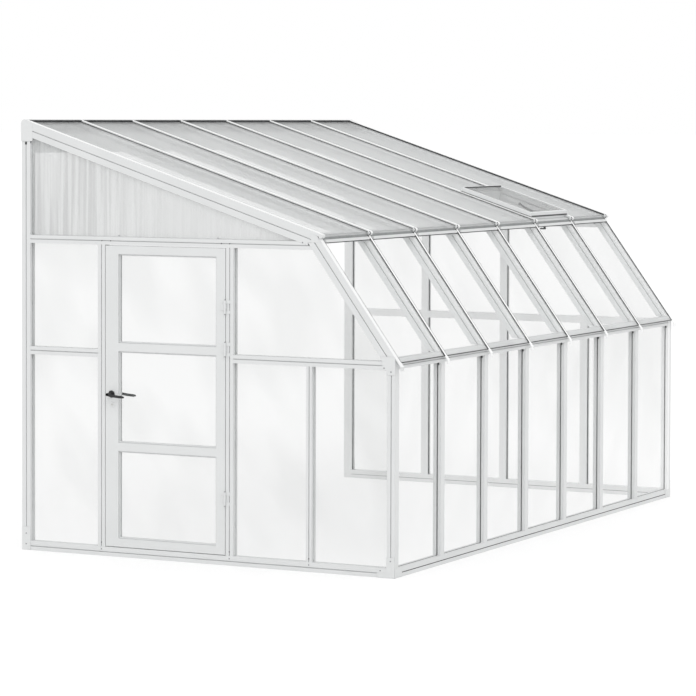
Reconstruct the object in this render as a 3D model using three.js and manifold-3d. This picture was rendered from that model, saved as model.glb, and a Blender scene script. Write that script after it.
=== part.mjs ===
// Lean-to greenhouse: a white resin frame of eight ribs with clear walls, a twin-wall roof,
// a hinged door in one gable and a hinged vent in the roof.
// Millimetres, +Z up. X runs along the length, the door gable is at -X, the house wall is at +Y.
// Every place below is first written with y = 0 at the glazed front and z = 0 at the ground.
import * as THREE from 'three';
import { mergeVertices } from 'three/addons/utils/BufferGeometryUtils.js';
import Module from 'manifold-3d';

const wasm = await Module();
wasm.setup();

// Overall frame
const bayCount = 7;
const bayPitch = 605;
const depth = 2500;
const barWidth = 50;
const barDepth = 50;
const baseHeight = 56;
const kneeTop = 1246;
const kneeRailHeight = 62;
const gableKneeTop = 1228;
const gableEaveTop = 1896;
const gableRailHeight = 48;
const wallPostWidth = 60;

// Eave beam: its outer face stands at eaveFace, its underside at eaveBottom.
// The gutter is open under the lower edge of the roof, behind a lip.
const eaveFace = 462;
const eaveBottom = 1890;
const eaveBeamHeight = 34;
const eaveBeamDepth = 78;
const gutterDepth = 28;
const gutterLip = 16;

// Ridge beam against the house wall
const ridgePlaneHeight = 2562;
const ridgeBeamDrop = 177;
const ridgeBeamRise = 24;
const ridgeCapDepth = 26;
const ridgeCornerRadius = 20;

// Rafters and slope bars, measured outward from the outer face of the glazing they carry
const ribDepth = 78;
const webWidth = 14;
const coverWidth = 28;
const coverHeight = 10;
const slopeRibDepth = 70;
const slopeCoverHeight = 4;
const slopeFootDrop = 4;
const slopeHeadSetback = 11;
const tailDrop = 70;
const tailReach = 36;
const noseRadius = 13;
const noseSetback = 18;

// Grooves, glazing and clearances
const grooveWidth = 5;
const grooveDepth = 8;
const baseGrooveHeight = 25;
const paneThickness = 5;
const slotWidth = 6;
const slotDepth = 10;
const roofPaneThickness = 8;
const slopePaneThickness = 4;
const roofSetback = 26;
const ridgeStrip = 30;
const kneeLipDrop = 28;
const kneeLipThickness = 5;
const seatGap = 0.3;
const cutReach = 6000;
const cutOverrun = 5;

// Door gable, places along y
const hingeJambFace = 1096;
const latchJambFace = 1916;
const jambWidth = 50;
const midPostCentre = 549;
const midPostWidth = 36;

// Far gable posts, places along y
const farPostFirst = 630;
const farPostPitch = 613;

// Door leaf
const doorGap = 4;
const leafThickness = 40;
const latchStileWidth = 88;
const hingeStileWidth = 60;
const doorRailHeight = 50;
const doorRailCentres = [654, 1245];

// Door hinges
const hingeTop = 1504;
const hingePairPitch = 246;
const hingeBottom = 388;
const hingeLength = 80;
const hingeRadius = 7;
const hingePinRadius = 3;
const hingeStandoff = 8;
const hingePlateWidth = 28;
const hingePlateThickness = 3;

// Door handle, a lever on each side of one spindle
const handleHeight = 965;
const handleBackset = 42;
const spindleRadius = 6;
const roseRadius = 22;
const roseThickness = 6;
const leverNeckRadius = 8;
const leverStandoff = 54;
const leverLength = 106;
const leverDroop = 12;
const leverHeight = 18;
const leverThickness = 12;

// Roof vent, measured up the roof from the eave beam's outer face
const ventBay = 5;
const sashStart = 56;
const sashEnd = 592;
const sashSideGap = 2.5;
const sashHeight = 30;
const sashRim = 12;
const sashFootRim = 20;
const sashPaneThickness = 6;
const sashPaneDrop = 3;
const skirtThickness = 5;
const skirtInset = 4;
const trimmerStart = 555;
const trimmerWidth = 50;
const trimmerUpstand = 20;

// Vent stay: a curved arm that hangs from an ear under the sash and ends in a grip
const stayOffset = 57;
const stayThickness = 6;
const stayWidth = 14;
const stayPivotPlace = 308;
const stayPivotRise = 8;
const stayPinRadius = 2.5;
const stayHeadRadius = 9;
const earThickness = 6;
const earWidth = 24;
const earDrop = 6;
const stayBends = [{ along: 254, rise: -4 }, { along: 192, rise: -6 }, { along: 118, rise: 14 }];
const stayLegDrop = 110;
const gripLength = 37;
const gripHeight = 10;
const gripWidth = 14;

const roundSegments = 24;
const staySamples = 14;
const cornerSamples = 6;

const materials = {
  resin: new THREE.MeshStandardMaterial({ color: 0xe9ebea, roughness: 0.45, metalness: 0 }),
  clear: new THREE.MeshStandardMaterial({
    color: 0xf4f7f6, roughness: 0.08, metalness: 0, transparent: true, opacity: 0.25,
  }),
  twinWall: new THREE.MeshStandardMaterial({
    color: 0xd9dddb, roughness: 0.35, metalness: 0, transparent: true, opacity: 0.8,
  }),
  black: new THREE.MeshStandardMaterial({ color: 0x141414, roughness: 0.4, metalness: 0 }),
};

const length = bayCount * bayPitch;
const half = barWidth / 2;
const ribX = (i) => i * bayPitch - length / 2;
const gable = {
  near: { x: ribX(0), side: -1 },
  far: { x: ribX(bayCount), side: 1 },
};
const paneReach = slotDepth - seatGap;
const paneFront = barDepth / 2;
const wallPostFace = depth - wallPostWidth;
const kneeRailBottom = kneeTop - kneeRailHeight;
const gableKneeBottom = gableKneeTop - gableRailHeight;
const gableEaveBottom = gableEaveTop - gableRailHeight;
const eaveBack = eaveFace + eaveBeamDepth;
const roofEnd = depth - ridgeCapDepth;
const ridgeBottom = ridgePlaneHeight - ridgeBeamDrop;
const ridgeTop = ridgePlaneHeight + ridgeBeamRise;
const hingeHeights = { top: hingeTop, middle: hingeTop - hingePairPitch, bottom: hingeBottom };

// A slanted glazing plane seen from the gable: points on it run up from its foot,
// and rise is measured outward from its outer face.
function slantThrough(foot, head) {
  const along = new THREE.Vector2().subVectors(head, foot).normalize();
  const out = new THREE.Vector2(-along.y, along.x);
  const at = (distance, rise) =>
    foot.clone().addScaledVector(along, distance).addScaledVector(out, rise);
  const heightAt = (y, rise) => {
    const start = at(0, rise);
    return start.y + ((y - start.x) * along.y) / along.x;
  };
  const placeAt = (z, rise) => {
    const start = at(0, rise);
    return start.x + ((z - start.y) * along.x) / along.y;
  };
  return { along, out, at, heightAt, placeAt, length: foot.distanceTo(head) };
}
const roof = slantThrough(
  new THREE.Vector2(eaveFace, eaveBottom + eaveBeamHeight),
  new THREE.Vector2(wallPostFace, ridgePlaneHeight),
);
const slope = slantThrough(
  new THREE.Vector2(0, kneeTop - slopeFootDrop),
  new THREE.Vector2(eaveFace + slopeHeadSetback, eaveBottom),
);

const roofReach = (roofEnd - eaveFace) / roof.along.x;
const roofRib = { slant: roof, depth: ribDepth, pane: roofPaneThickness, cover: coverHeight };
const slopeRib = {
  slant: slope, depth: slopeRibDepth, pane: slopePaneThickness, cover: slopeCoverHeight,
};
const noseCentre = roof.at(noseSetback, coverHeight - noseRadius);
const noseSpan = noseSetback + noseRadius + seatGap;

// Solids
function solidOf(geometry, matrix) {
  const source = geometry.clone().applyMatrix4(matrix ?? new THREE.Matrix4());
  source.deleteAttribute('normal');
  source.deleteAttribute('uv');
  const merged = mergeVertices(source);
  return new wasm.Manifold(new wasm.Mesh({
    numProp: 3,
    vertProperties: new Float32Array(merged.attributes.position.array),
    triVerts: new Uint32Array(merged.index.array),
  }));
}

function geometryOf(solid) {
  const mesh = solid.getMesh();
  const geometry = new THREE.BufferGeometry();
  geometry.setAttribute('position', new THREE.BufferAttribute(new Float32Array(mesh.vertProperties), 3));
  geometry.setIndex(new THREE.BufferAttribute(new Uint32Array(mesh.triVerts), 1));
  geometry.computeVertexNormals();
  return geometry;
}

function block(x0, x1, y0, y1, z0, z1) {
  const box = new THREE.BoxGeometry(x1 - x0, y1 - y0, z1 - z0);
  const centre = new THREE.Matrix4().makeTranslation((x0 + x1) / 2, (y0 + y1) / 2, (z0 + z1) / 2);
  return solidOf(box, centre);
}

function extrude(points, distance, matrix) {
  const shape = new THREE.Shape(points);
  return solidOf(new THREE.ExtrudeGeometry(shape, { depth: distance, bevelEnabled: false }), matrix);
}

// An outline of (y, z) points, carried along X
function profileX(points, x0, x1) {
  const axes = new THREE.Matrix4().makeBasis(
    new THREE.Vector3(0, 1, 0), new THREE.Vector3(0, 0, 1), new THREE.Vector3(1, 0, 0));
  axes.setPosition(x0, 0, 0);
  return extrude(points, x1 - x0, axes);
}

// An outline of (x, rise) points, carried up a slanted plane
function profileSlant(slant, points, from, to) {
  const { along, out } = slant;
  const axes = new THREE.Matrix4().makeBasis(
    new THREE.Vector3(1, 0, 0),
    new THREE.Vector3(0, out.x, out.y),
    new THREE.Vector3(0, -along.x, -along.y),
  );
  const start = slant.at(to, 0);
  axes.setPosition(0, start.x, start.y);
  return extrude(points, to - from, axes);
}

function slantBlock(slant, x0, x1, from, to, rise0, rise1) {
  const points = [[x0, rise0], [x1, rise0], [x1, rise1], [x0, rise1]];
  return profileSlant(slant, points.map((p) => new THREE.Vector2(...p)), from, to);
}

function outline(pairs) {
  return pairs.map(([a, b]) => new THREE.Vector2(a, b));
}

function discX(radius, x0, x1, y, z) {
  const disc = new THREE.CylinderGeometry(radius, radius, x1 - x0, roundSegments);
  disc.rotateZ(-Math.PI / 2);
  return solidOf(disc, new THREE.Matrix4().makeTranslation((x0 + x1) / 2, y, z));
}

function discZ(radius, x, y, z0, z1) {
  const disc = new THREE.CylinderGeometry(radius, radius, z1 - z0, roundSegments);
  disc.rotateX(Math.PI / 2);
  return solidOf(disc, new THREE.Matrix4().makeTranslation(x, y, (z0 + z1) / 2));
}

const joinAll = (solids) => solids.reduce((whole, next) => whole.add(next));
const cutAll = (solid, cuts) => cuts.reduce((left, cut) => left.subtract(cut), solid);

// Half-spaces used for trimming
const everyX = [-cutReach, cutReach];
const above = (z) => block(...everyX, -cutReach, cutReach, z, z + cutReach);
const below = (z) => block(...everyX, -cutReach, cutReach, z - cutReach, z);
const inFrontOf = (y) => block(...everyX, y - cutReach, y, -cutReach, cutReach);
const behind = (y) => block(...everyX, y, y + cutReach, -cutReach, cutReach);

const greenhouse = new THREE.Group();
function addPiece(name, solid, material) {
  const mesh = new THREE.Mesh(geometryOf(solid), material);
  mesh.name = name;
  greenhouse.add(mesh);
}

// Slots for the gable glazing: one along y in the top or bottom of a rail, one along z in an upright
function railSlot(x, y0, y1, face, inward) {
  const z0 = Math.min(face - inward * cutOverrun, face + inward * slotDepth);
  const z1 = Math.max(face - inward * cutOverrun, face + inward * slotDepth);
  return block(x - slotWidth / 2, x + slotWidth / 2, y0, y1, z0, z1);
}

function uprightSlot(x, face, inward, z0, z1) {
  const y0 = Math.min(face - inward * cutOverrun, face + inward * slotDepth);
  const y1 = Math.max(face - inward * cutOverrun, face + inward * slotDepth);
  return block(x - slotWidth / 2, x + slotWidth / 2, y0, y1, z0, z1);
}

// The thin line along the outer face of every gable bar
function gableGroove(end, y0, y1, z0, z1) {
  const face = end.x + end.side * half;
  const inner = face - end.side * grooveDepth;
  const outer = face + end.side * cutOverrun;
  return block(Math.min(inner, outer), Math.max(inner, outer), y0, y1, z0, z1);
}

function gableUpright(end, y0, y1, z0, z1, slotFaces) {
  const middle = (y0 + y1) / 2;
  const cuts = [gableGroove(end, middle - grooveWidth / 2, middle + grooveWidth / 2,
    z0 - cutOverrun, z1 + cutOverrun)];
  if (slotFaces.includes('front')) {
    cuts.push(uprightSlot(end.x, y0, 1, z0 - cutOverrun, z1 + cutOverrun));
  }
  if (slotFaces.includes('back')) {
    cuts.push(uprightSlot(end.x, y1, -1, z0 - cutOverrun, z1 + cutOverrun));
  }
  return cutAll(block(end.x - half, end.x + half, y0, y1, z0, z1), cuts);
}

function gableRail(end, y0, y1, z0, z1, slots) {
  const middle = (z0 + z1) / 2;
  const cuts = [gableGroove(end, y0 - cutOverrun, y1 + cutOverrun,
    middle - grooveWidth / 2, middle + grooveWidth / 2)];
  for (const slot of slots) {
    const face = slot.face === 'top' ? z1 : z0;
    const inward = slot.face === 'top' ? -1 : 1;
    cuts.push(railSlot(end.x, slot.from, slot.to, face, inward));
  }
  return cutAll(block(end.x - half, end.x + half, y0, y1, z0, z1), cuts);
}

// Base frame
function addBase() {
  const front = block(gable.near.x + half, gable.far.x - half, 0, barDepth, 0, baseHeight);
  const slot = block(gable.near.x, gable.far.x, paneFront - slotWidth / 2, paneFront + slotWidth / 2,
    baseHeight - slotDepth, baseHeight + cutOverrun);
  const line = block(gable.near.x, gable.far.x, -cutOverrun, grooveDepth,
    baseGrooveHeight - grooveWidth / 2, baseGrooveHeight + grooveWidth / 2);
  addPiece('base_rail_front', cutAll(front, [slot, line]), materials.resin);
  for (const [name, end] of Object.entries(gable)) {
    const rail = block(end.x - half, end.x + half, 0, depth, 0, baseHeight);
    const glazed = name === 'near'
      ? [[barDepth, hingeJambFace - jambWidth], [latchJambFace + jambWidth, wallPostFace]]
      : [[barDepth, wallPostFace]];
    const cuts = glazed.map(([y0, y1]) => railSlot(end.x, y0, y1, baseHeight, -1));
    cuts.push(gableGroove(end, -cutOverrun, depth + cutOverrun,
      baseGrooveHeight - grooveWidth / 2, baseGrooveHeight + grooveWidth / 2));
    addPiece(`base_rail_${name}`, cutAll(rail, cuts), materials.resin);
  }
}

// Glazed front: posts, knee rail and the panes between them
function frontPaneSlot(x, inward, z0, z1) {
  const x0 = Math.min(x - inward * cutOverrun, x + inward * slotDepth);
  const x1 = Math.max(x - inward * cutOverrun, x + inward * slotDepth);
  return block(x0, x1, paneFront - slotWidth / 2, paneFront + slotWidth / 2, z0, z1);
}

function addFrontPosts() {
  for (let i = 0; i <= bayCount; i += 1) {
    const x = ribX(i);
    const corner = i === 0 || i === bayCount;
    const top = corner ? kneeTop : kneeRailBottom;
    const end = i === 0 ? gable.near : gable.far;
    let post = corner
      ? gableUpright(end, 0, barDepth, baseHeight, top, ['back'])
      : block(x - half, x + half, 0, barDepth, baseHeight, top);
    if (i > 0) post = post.subtract(frontPaneSlot(x - half, 1, 0, kneeRailBottom + slotDepth));
    if (i < bayCount) post = post.subtract(frontPaneSlot(x + half, -1, 0, kneeRailBottom + slotDepth));
    post = post.subtract(slantBlock(slope, ...everyX, -kneeTop, kneeTop, 0, cutReach));
    addPiece(`front_post_${i}`, post, materials.resin);
  }
}

// The knee rail carries the slope bars on its top and the foot of the slope glazing on its lip
function addKneeRail() {
  const under = -slopePaneThickness - seatGap;
  const lipFoot = kneeTop - kneeLipDrop;
  const lipTop = new THREE.Vector2(slope.placeAt(lipFoot, under), lipFoot);
  const lipBack = slope.placeAt(lipFoot, under - kneeLipThickness);
  const lipRoot = slope.heightAt(0, under - kneeLipThickness);
  const section = outline([
    [0, kneeRailBottom], [barDepth, kneeRailBottom], [barDepth, kneeTop],
    [slope.placeAt(kneeTop, under), kneeTop], [lipTop.x, lipTop.y], [lipBack, lipFoot], [0, lipRoot],
  ]);
  const rail = profileX(section, gable.near.x + half, gable.far.x - half);
  const slot = block(gable.near.x, gable.far.x, paneFront - slotWidth / 2, paneFront + slotWidth / 2,
    kneeRailBottom - cutOverrun, kneeRailBottom + slotDepth);
  const lineHeight = (kneeRailBottom + lipRoot) / 2;
  const line = block(gable.near.x, gable.far.x, -cutOverrun, grooveDepth,
    lineHeight - grooveWidth / 2, lineHeight + grooveWidth / 2);
  addPiece('knee_rail_front', cutAll(rail, [slot, line]), materials.resin);
}

function addFrontGlazing() {
  const y0 = paneFront - paneThickness / 2;
  const y1 = paneFront + paneThickness / 2;
  const foot = baseHeight - paneReach;
  const panes = [block(gable.near.x + half + seatGap, gable.far.x - half - seatGap,
    y0, y1, foot, baseHeight - seatGap)];
  for (let i = 0; i < bayCount; i += 1) {
    const x0 = ribX(i) + half;
    const x1 = ribX(i + 1) - half;
    panes.push(block(x0 + seatGap, x1 - seatGap, y0, y1, foot, kneeRailBottom));
    panes.push(block(x0 - paneReach, x1 + paneReach, y0, y1, baseHeight + seatGap,
      kneeRailBottom + paneReach));
  }
  addPiece('front_glazing', joinAll(panes), materials.clear);
}

// Ribs: a body under the glazing, a web between the panes and a cover strip over their edges.
// The outer side of a gable rib is closed up to the top of its cover.
function ribSection(i, rib) {
  const x = ribX(i);
  const web = webWidth / 2;
  const cover = coverWidth / 2;
  const top = -rib.pane - seatGap;
  const side = (sign, closed) => (closed
    ? [[x + sign * half, -rib.depth], [x + sign * half, rib.cover]]
    : [[x + sign * half, -rib.depth], [x + sign * half, top], [x + sign * web, top],
      [x + sign * web, seatGap], [x + sign * cover, seatGap], [x + sign * cover, rib.cover]]);
  const right = side(1, i === bayCount);
  const left = side(-1, i === 0).reverse();
  return outline([...right, ...left]);
}

// The width of a rib's cover strip, grown by a gap on each side that has a pane
function coverSpan(i, gap = 0) {
  const side = coverWidth / 2 + gap;
  return [ribX(i) - (i === 0 ? half : side), ribX(i) + (i === bayCount ? half : side)];
}

function ribGrooves({ slant, depth: ribDown }, i, from, to) {
  const x = ribX(i);
  const middle = -ribDown / 2;
  const cuts = [-1, 1].map((sign) => {
    const inner = x + sign * (half - grooveDepth);
    const outer = x + sign * (half + cutOverrun);
    return slantBlock(slant, Math.min(inner, outer), Math.max(inner, outer), from, to,
      middle - grooveWidth / 2, middle + grooveWidth / 2);
  });
  if (i === 0 || i === bayCount) {
    cuts.push(slantBlock(slant, x - slotWidth / 2, x + slotWidth / 2, from, to,
      -ribDown - cutOverrun, -ribDown + slotDepth));
  }
  return cuts;
}

function addSlopeBars() {
  const over = slope.length + cutOverrun * barWidth;
  const head = noseCentre.y - noseRadius - seatGap;
  for (let i = 0; i <= bayCount; i += 1) {
    const x = coverSpan(i);
    const bar = profileSlant(slope, ribSection(i, slopeRib), -over, over);
    const body = cutAll(bar, [...ribGrooves(slopeRib, i, -over, over),
      below(kneeTop + seatGap), above(eaveBottom - seatGap)]);
    const strip = slantBlock(slope, ...x, -over, over, seatGap, slopeCoverHeight)
      .subtract(inFrontOf(-tailReach))
      .subtract(above(head));
    const tail = block(...x, -tailReach, -tailReach + slopeCoverHeight, kneeTop - tailDrop,
      slope.heightAt(-tailReach, slopeCoverHeight));
    addPiece(`slope_bar_${i}`, joinAll([body, strip, tail]), materials.resin);
  }
}

// One sheet with a slot for every web; its foot stays whole in front of the knee rail's lip
function addSlopeGlazing() {
  const perHeight = 1 / slope.along.y;
  const start = -(kneeLipDrop - slopeFootDrop) * perHeight;
  const strip = slopeFootDrop * perHeight - webWidth / 2;
  const end = slope.length + cutOverrun;
  const web = webWidth / 2 + seatGap;
  const sheet = slantBlock(slope, gable.near.x + web, gable.far.x - web, start, end, -slopePaneThickness, 0)
    .subtract(above(eaveBottom - seatGap));
  const slots = [];
  for (let i = 0; i <= bayCount; i += 1) {
    const side = i === 0 || i === bayCount ? half + seatGap : web;
    const from = i === 0 || i === bayCount ? start - cutOverrun : strip;
    const to = i === 0 || i === bayCount ? strip + webWidth : end + cutOverrun;
    slots.push(slantBlock(slope, ribX(i) - side, ribX(i) + side, from, to, -cutReach, cutReach));
  }
  addPiece('slope_glazing', cutAll(sheet, slots), materials.clear);
}

// Eave beam with the gutter behind its lip, notched at each rib for the head of the slope's cover strip
function addEaveBeam() {
  const under = -roofPaneThickness - seatGap;
  const section = outline([
    [eaveFace, eaveBottom], [eaveBack, eaveBottom],
    [eaveBack, roof.heightAt(eaveBack, under)], [eaveFace, roof.heightAt(eaveFace, under)],
  ]);
  const gutter = block(gable.near.x, gable.far.x, eaveFace - cutOverrun, eaveFace + gutterDepth,
    eaveBottom + gutterLip, eaveBottom + eaveBeamHeight + gutterDepth);
  const notches = [];
  for (let i = 0; i <= bayCount; i += 1) {
    const [x0, x1] = coverSpan(i, seatGap);
    notches.push(slantBlock(slope, x0 - (i === 0 ? half : 0), x1 + (i === bayCount ? half : 0),
      0, slope.length + barWidth, 0, cutReach));
  }
  const beam = profileX(section, gable.near.x - half, gable.far.x + half);
  addPiece('eave_beam', cutAll(beam, [gutter, ...notches]), materials.resin);
}

// Ridge beam: the upper ends of the rafters and panes lie on its slanted top, against a cap at the wall
function addRidgeBeam() {
  const under = -roofPaneThickness - seatGap;
  const corner = Array.from({ length: cornerSamples + 1 }, (_, i) => {
    const angle = (i / cornerSamples) * (Math.PI / 2);
    return [depth - ridgeCornerRadius * (1 - Math.cos(angle)),
      ridgeTop - ridgeCornerRadius * (1 - Math.sin(angle))];
  });
  const section = outline([
    [wallPostFace, ridgeBottom], [depth, ridgeBottom], ...corner, [roofEnd, ridgeTop],
    [roofEnd, roof.heightAt(roofEnd, under)], [wallPostFace, roof.heightAt(wallPostFace, under)],
  ]);
  const middle = (wallPostFace + depth) / 2;
  const slotTop = roof.heightAt(wallPostFace + slotDepth, slotDepth - ribDepth);
  const cuts = Object.values(gable).flatMap((end) => [
    uprightSlot(end.x, wallPostFace, 1, ridgeBottom - cutOverrun, slotTop),
    gableGroove(end, middle - grooveWidth / 2, middle + grooveWidth / 2,
      ridgeBottom - cutOverrun, ridgeTop + cutOverrun),
  ]);
  const beam = profileX(section, gable.near.x - half, gable.far.x + half);
  addPiece('ridge_beam', cutAll(beam, cuts), materials.resin);
}

// A rafter's body stands between the eave and ridge beams; its cover runs on over the ridge beam,
// where its web stops short of the strip that joins the panes
function addRafters() {
  const over = roof.length + cutOverrun * barWidth;
  const under = -roofPaneThickness - seatGap;
  const underSheet = slantBlock(roof, ...everyX, -over, over, -cutReach, under + seatGap);
  const strip = slantBlock(roof, gable.near.x + webWidth / 2, gable.far.x - webWidth / 2,
    roofReach - ridgeStrip - seatGap, over, under, seatGap);
  const slopeBack = slope.placeAt(eaveBottom, -slopeRibDepth) + seatGap;
  const cuts = [
    underSheet.intersect(inFrontOf(eaveBack + seatGap)), underSheet.intersect(behind(wallPostFace)),
    block(...everyX, -cutReach, slopeBack, -cutReach, eaveBottom + seatGap),
    strip, behind(roofEnd - seatGap),
  ];
  const noseBack = underSheet.intersect(behind(eaveFace + gutterDepth - seatGap));
  for (let i = 0; i <= bayCount; i += 1) {
    const bar = profileSlant(roof, ribSection(i, roofRib), noseSetback, over);
    const nose = discX(noseRadius, ...coverSpan(i), noseCentre.x, noseCentre.y).subtract(noseBack);
    const rafter = cutAll(bar, [...ribGrooves(roofRib, i, -over, over), ...cuts]);
    addPiece(`rafter_${i}`, rafter.add(nose), materials.resin);
  }
}

// One sheet with a slot for every web and a notch for every nose; it stays whole in a strip along the
// ridge, under the covers
function addRoofGlazing() {
  const web = webWidth / 2 + seatGap;
  const sheet = slantBlock(roof, gable.near.x + web, gable.far.x - web, roofSetback,
    roofReach + roofPaneThickness, -roofPaneThickness, 0);
  const slots = [behind(roofEnd - seatGap)];
  for (let i = 0; i <= bayCount; i += 1) {
    slots.push(slantBlock(roof, ...coverSpan(i, seatGap), -cutReach, noseSpan, -cutReach, cutReach));
  }
  for (let i = 1; i < bayCount; i += 1) {
    slots.push(slantBlock(roof, ribX(i) - web, ribX(i) + web, -cutReach, roofReach - ridgeStrip,
      -cutReach, cutReach));
  }
  slots.push(slantBlock(roof, ribX(ventBay), ribX(ventBay + 1), -cutReach,
    trimmerStart + trimmerUpstand + seatGap, -cutReach, cutReach));
  addPiece('roof_glazing', cutAll(sheet, slots), materials.twinWall);
}

// Rails and uprights of the door gable
const hingeJambBack = hingeJambFace - jambWidth;
const latchJambBack = latchJambFace + jambWidth;
const midPostSpan = [midPostCentre - midPostWidth / 2, midPostCentre + midPostWidth / 2];

// Everything above the inner faces of a gable's slope bar and rafter, which its eave rail butts against
function underRibs() {
  const over = roof.length;
  return [
    slantBlock(slope, ...everyX, -over, over, -slopeRibDepth - seatGap, cutReach),
    slantBlock(roof, ...everyX, -over, over * 2, -ribDepth - seatGap, cutReach),
  ];
}

function gableEaveRail(end, slots) {
  const rail = gableRail(end, barDepth, wallPostFace, gableEaveBottom, gableEaveTop, slots);
  return cutAll(rail, underRibs());
}

function addWallPosts() {
  for (const [name, end] of Object.entries(gable)) {
    const post = gableUpright(end, wallPostFace, depth, baseHeight, ridgeBottom, ['front']);
    addPiece(`wall_post_${name}`, post, materials.resin);
  }
}

function addNearGableFrame() {
  const end = gable.near;
  const { resin } = materials;
  const beforeDoor = { from: barDepth, to: hingeJambBack };
  const afterDoor = { from: latchJambBack, to: wallPostFace };
  addPiece('latch_jamb', gableUpright(end, latchJambFace, latchJambBack, baseHeight, gableEaveBottom,
    ['back']), resin);
  addPiece('hinge_jamb', hingeJamb(), resin);
  addPiece('mid_post_near', gableUpright(end, ...midPostSpan, baseHeight, gableKneeBottom,
    ['front', 'back']), resin);
  addPiece('eave_rail_near', gableEaveRail(end, [
    { face: 'top', from: 0, to: wallPostFace + cutOverrun },
    { face: 'bottom', from: 0, to: beforeDoor.to + slotDepth },
    { face: 'bottom', from: afterDoor.from - slotDepth, to: wallPostFace + cutOverrun },
  ]), resin);
  for (const [name, span] of [['front', beforeDoor], ['wall', afterDoor]]) {
    const rail = gableRail(end, span.from, span.to, gableKneeBottom, gableKneeTop,
      ['top', 'bottom'].map((face) => ({ face, from: span.from - cutOverrun, to: span.to + cutOverrun })));
    addPiece(`knee_rail_near_${name}`, rail, resin);
  }
}

// The far gable's two full posts are halved over its knee rail
function addFarGableFrame() {
  const end = gable.far;
  const { resin } = materials;
  const inner = [end.x - cutReach, end.x + seatGap / 2];
  const outer = [end.x - seatGap / 2, end.x + cutReach];
  const whole = { from: barDepth - cutOverrun, to: wallPostFace + cutOverrun };
  let kneeRail = gableRail(end, barDepth, wallPostFace, gableKneeBottom, gableKneeTop,
    ['top', 'bottom'].map((face) => ({ face, ...whole })));
  ['front', 'middle', 'wall'].forEach((name, i) => {
    const centre = farPostFirst + i * farPostPitch;
    const top = i === 0 ? gableKneeBottom : gableEaveBottom;
    let post = gableUpright(end, centre - half, centre + half, baseHeight, top, ['front', 'back']);
    if (i > 0) {
      post = post.subtract(block(...outer, centre - barWidth, centre + barWidth,
        gableKneeBottom - seatGap, gableKneeTop + seatGap));
      kneeRail = kneeRail.subtract(block(...inner, centre - half - seatGap, centre + half + seatGap,
        gableKneeBottom - cutOverrun, gableKneeTop + cutOverrun));
    }
    addPiece(`far_post_${name}`, post, resin);
  });
  addPiece('knee_rail_far', kneeRail, resin);
  addPiece('eave_rail_far', gableEaveRail(end, ['top', 'bottom'].map((face) => ({
    face, from: 0, to: wallPostFace + cutOverrun,
  }))), resin);
}

// Gable panes: each stands in the slots around it, and panes of one sheet are joined inside the slots
function gableSheet(end, panes, strips) {
  const x0 = end.x - paneThickness / 2;
  const x1 = end.x + paneThickness / 2;
  const solids = panes.map((points) => profileX(outline(points), x0, x1));
  for (const [y0, y1, z0, z1] of strips) solids.push(block(x0, x1, y0, y1, z0, z1));
  return joinAll(solids);
}

const paneRect = (y0, y1, z0, z1) => [[y0, z0], [y1, z0], [y1, z1], [y0, z1]];

function lowerPane(y0, y1) {
  return paneRect(y0 - paneReach, y1 + paneReach, baseHeight + seatGap, gableKneeBottom + paneReach);
}

// Between two posts the sheet goes down into the base slot; the strip joins neighbours under the posts
function lowerStrips(y0, y1, spans) {
  const foot = baseHeight - paneReach;
  const strips = [[y0 + seatGap, y1 - seatGap, foot, baseHeight - seatGap]];
  for (const [from, to] of spans) {
    strips.push([from + seatGap, to - seatGap, foot, baseHeight + barWidth]);
  }
  return strips;
}

function upperPane(y0, y1) {
  return paneRect(y0 - paneReach, y1 + paneReach, gableKneeTop - paneReach, gableEaveBottom + paneReach);
}

// The upper pane next to the front follows the slope bar's inner face
function slopedUpperPane(y1) {
  const reach = -slopeRibDepth + paneReach;
  const foot = gableKneeTop - paneReach;
  const head = gableEaveBottom + paneReach;
  const underFoot = kneeTop - seatGap;
  return [
    [barDepth + seatGap, foot], [y1 + paneReach, foot], [y1 + paneReach, head],
    [slope.placeAt(head, reach), head], [slope.placeAt(underFoot, reach), underFoot],
    [barDepth + seatGap, underFoot],
  ];
}

function kneeStrip(y0, y1) {
  return [y0, y1, gableKneeBottom - barWidth, gableKneeTop + barWidth];
}

function triangle() {
  const reach = -ribDepth + paneReach;
  const start = roof.placeAt(gableEaveTop, -ribDepth);
  const end = wallPostFace + paneReach;
  const foot = gableEaveTop - paneReach;
  return [
    [start, foot], [end, foot], [end, roof.heightAt(end, reach)], [start, roof.heightAt(start, reach)],
  ];
}

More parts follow.
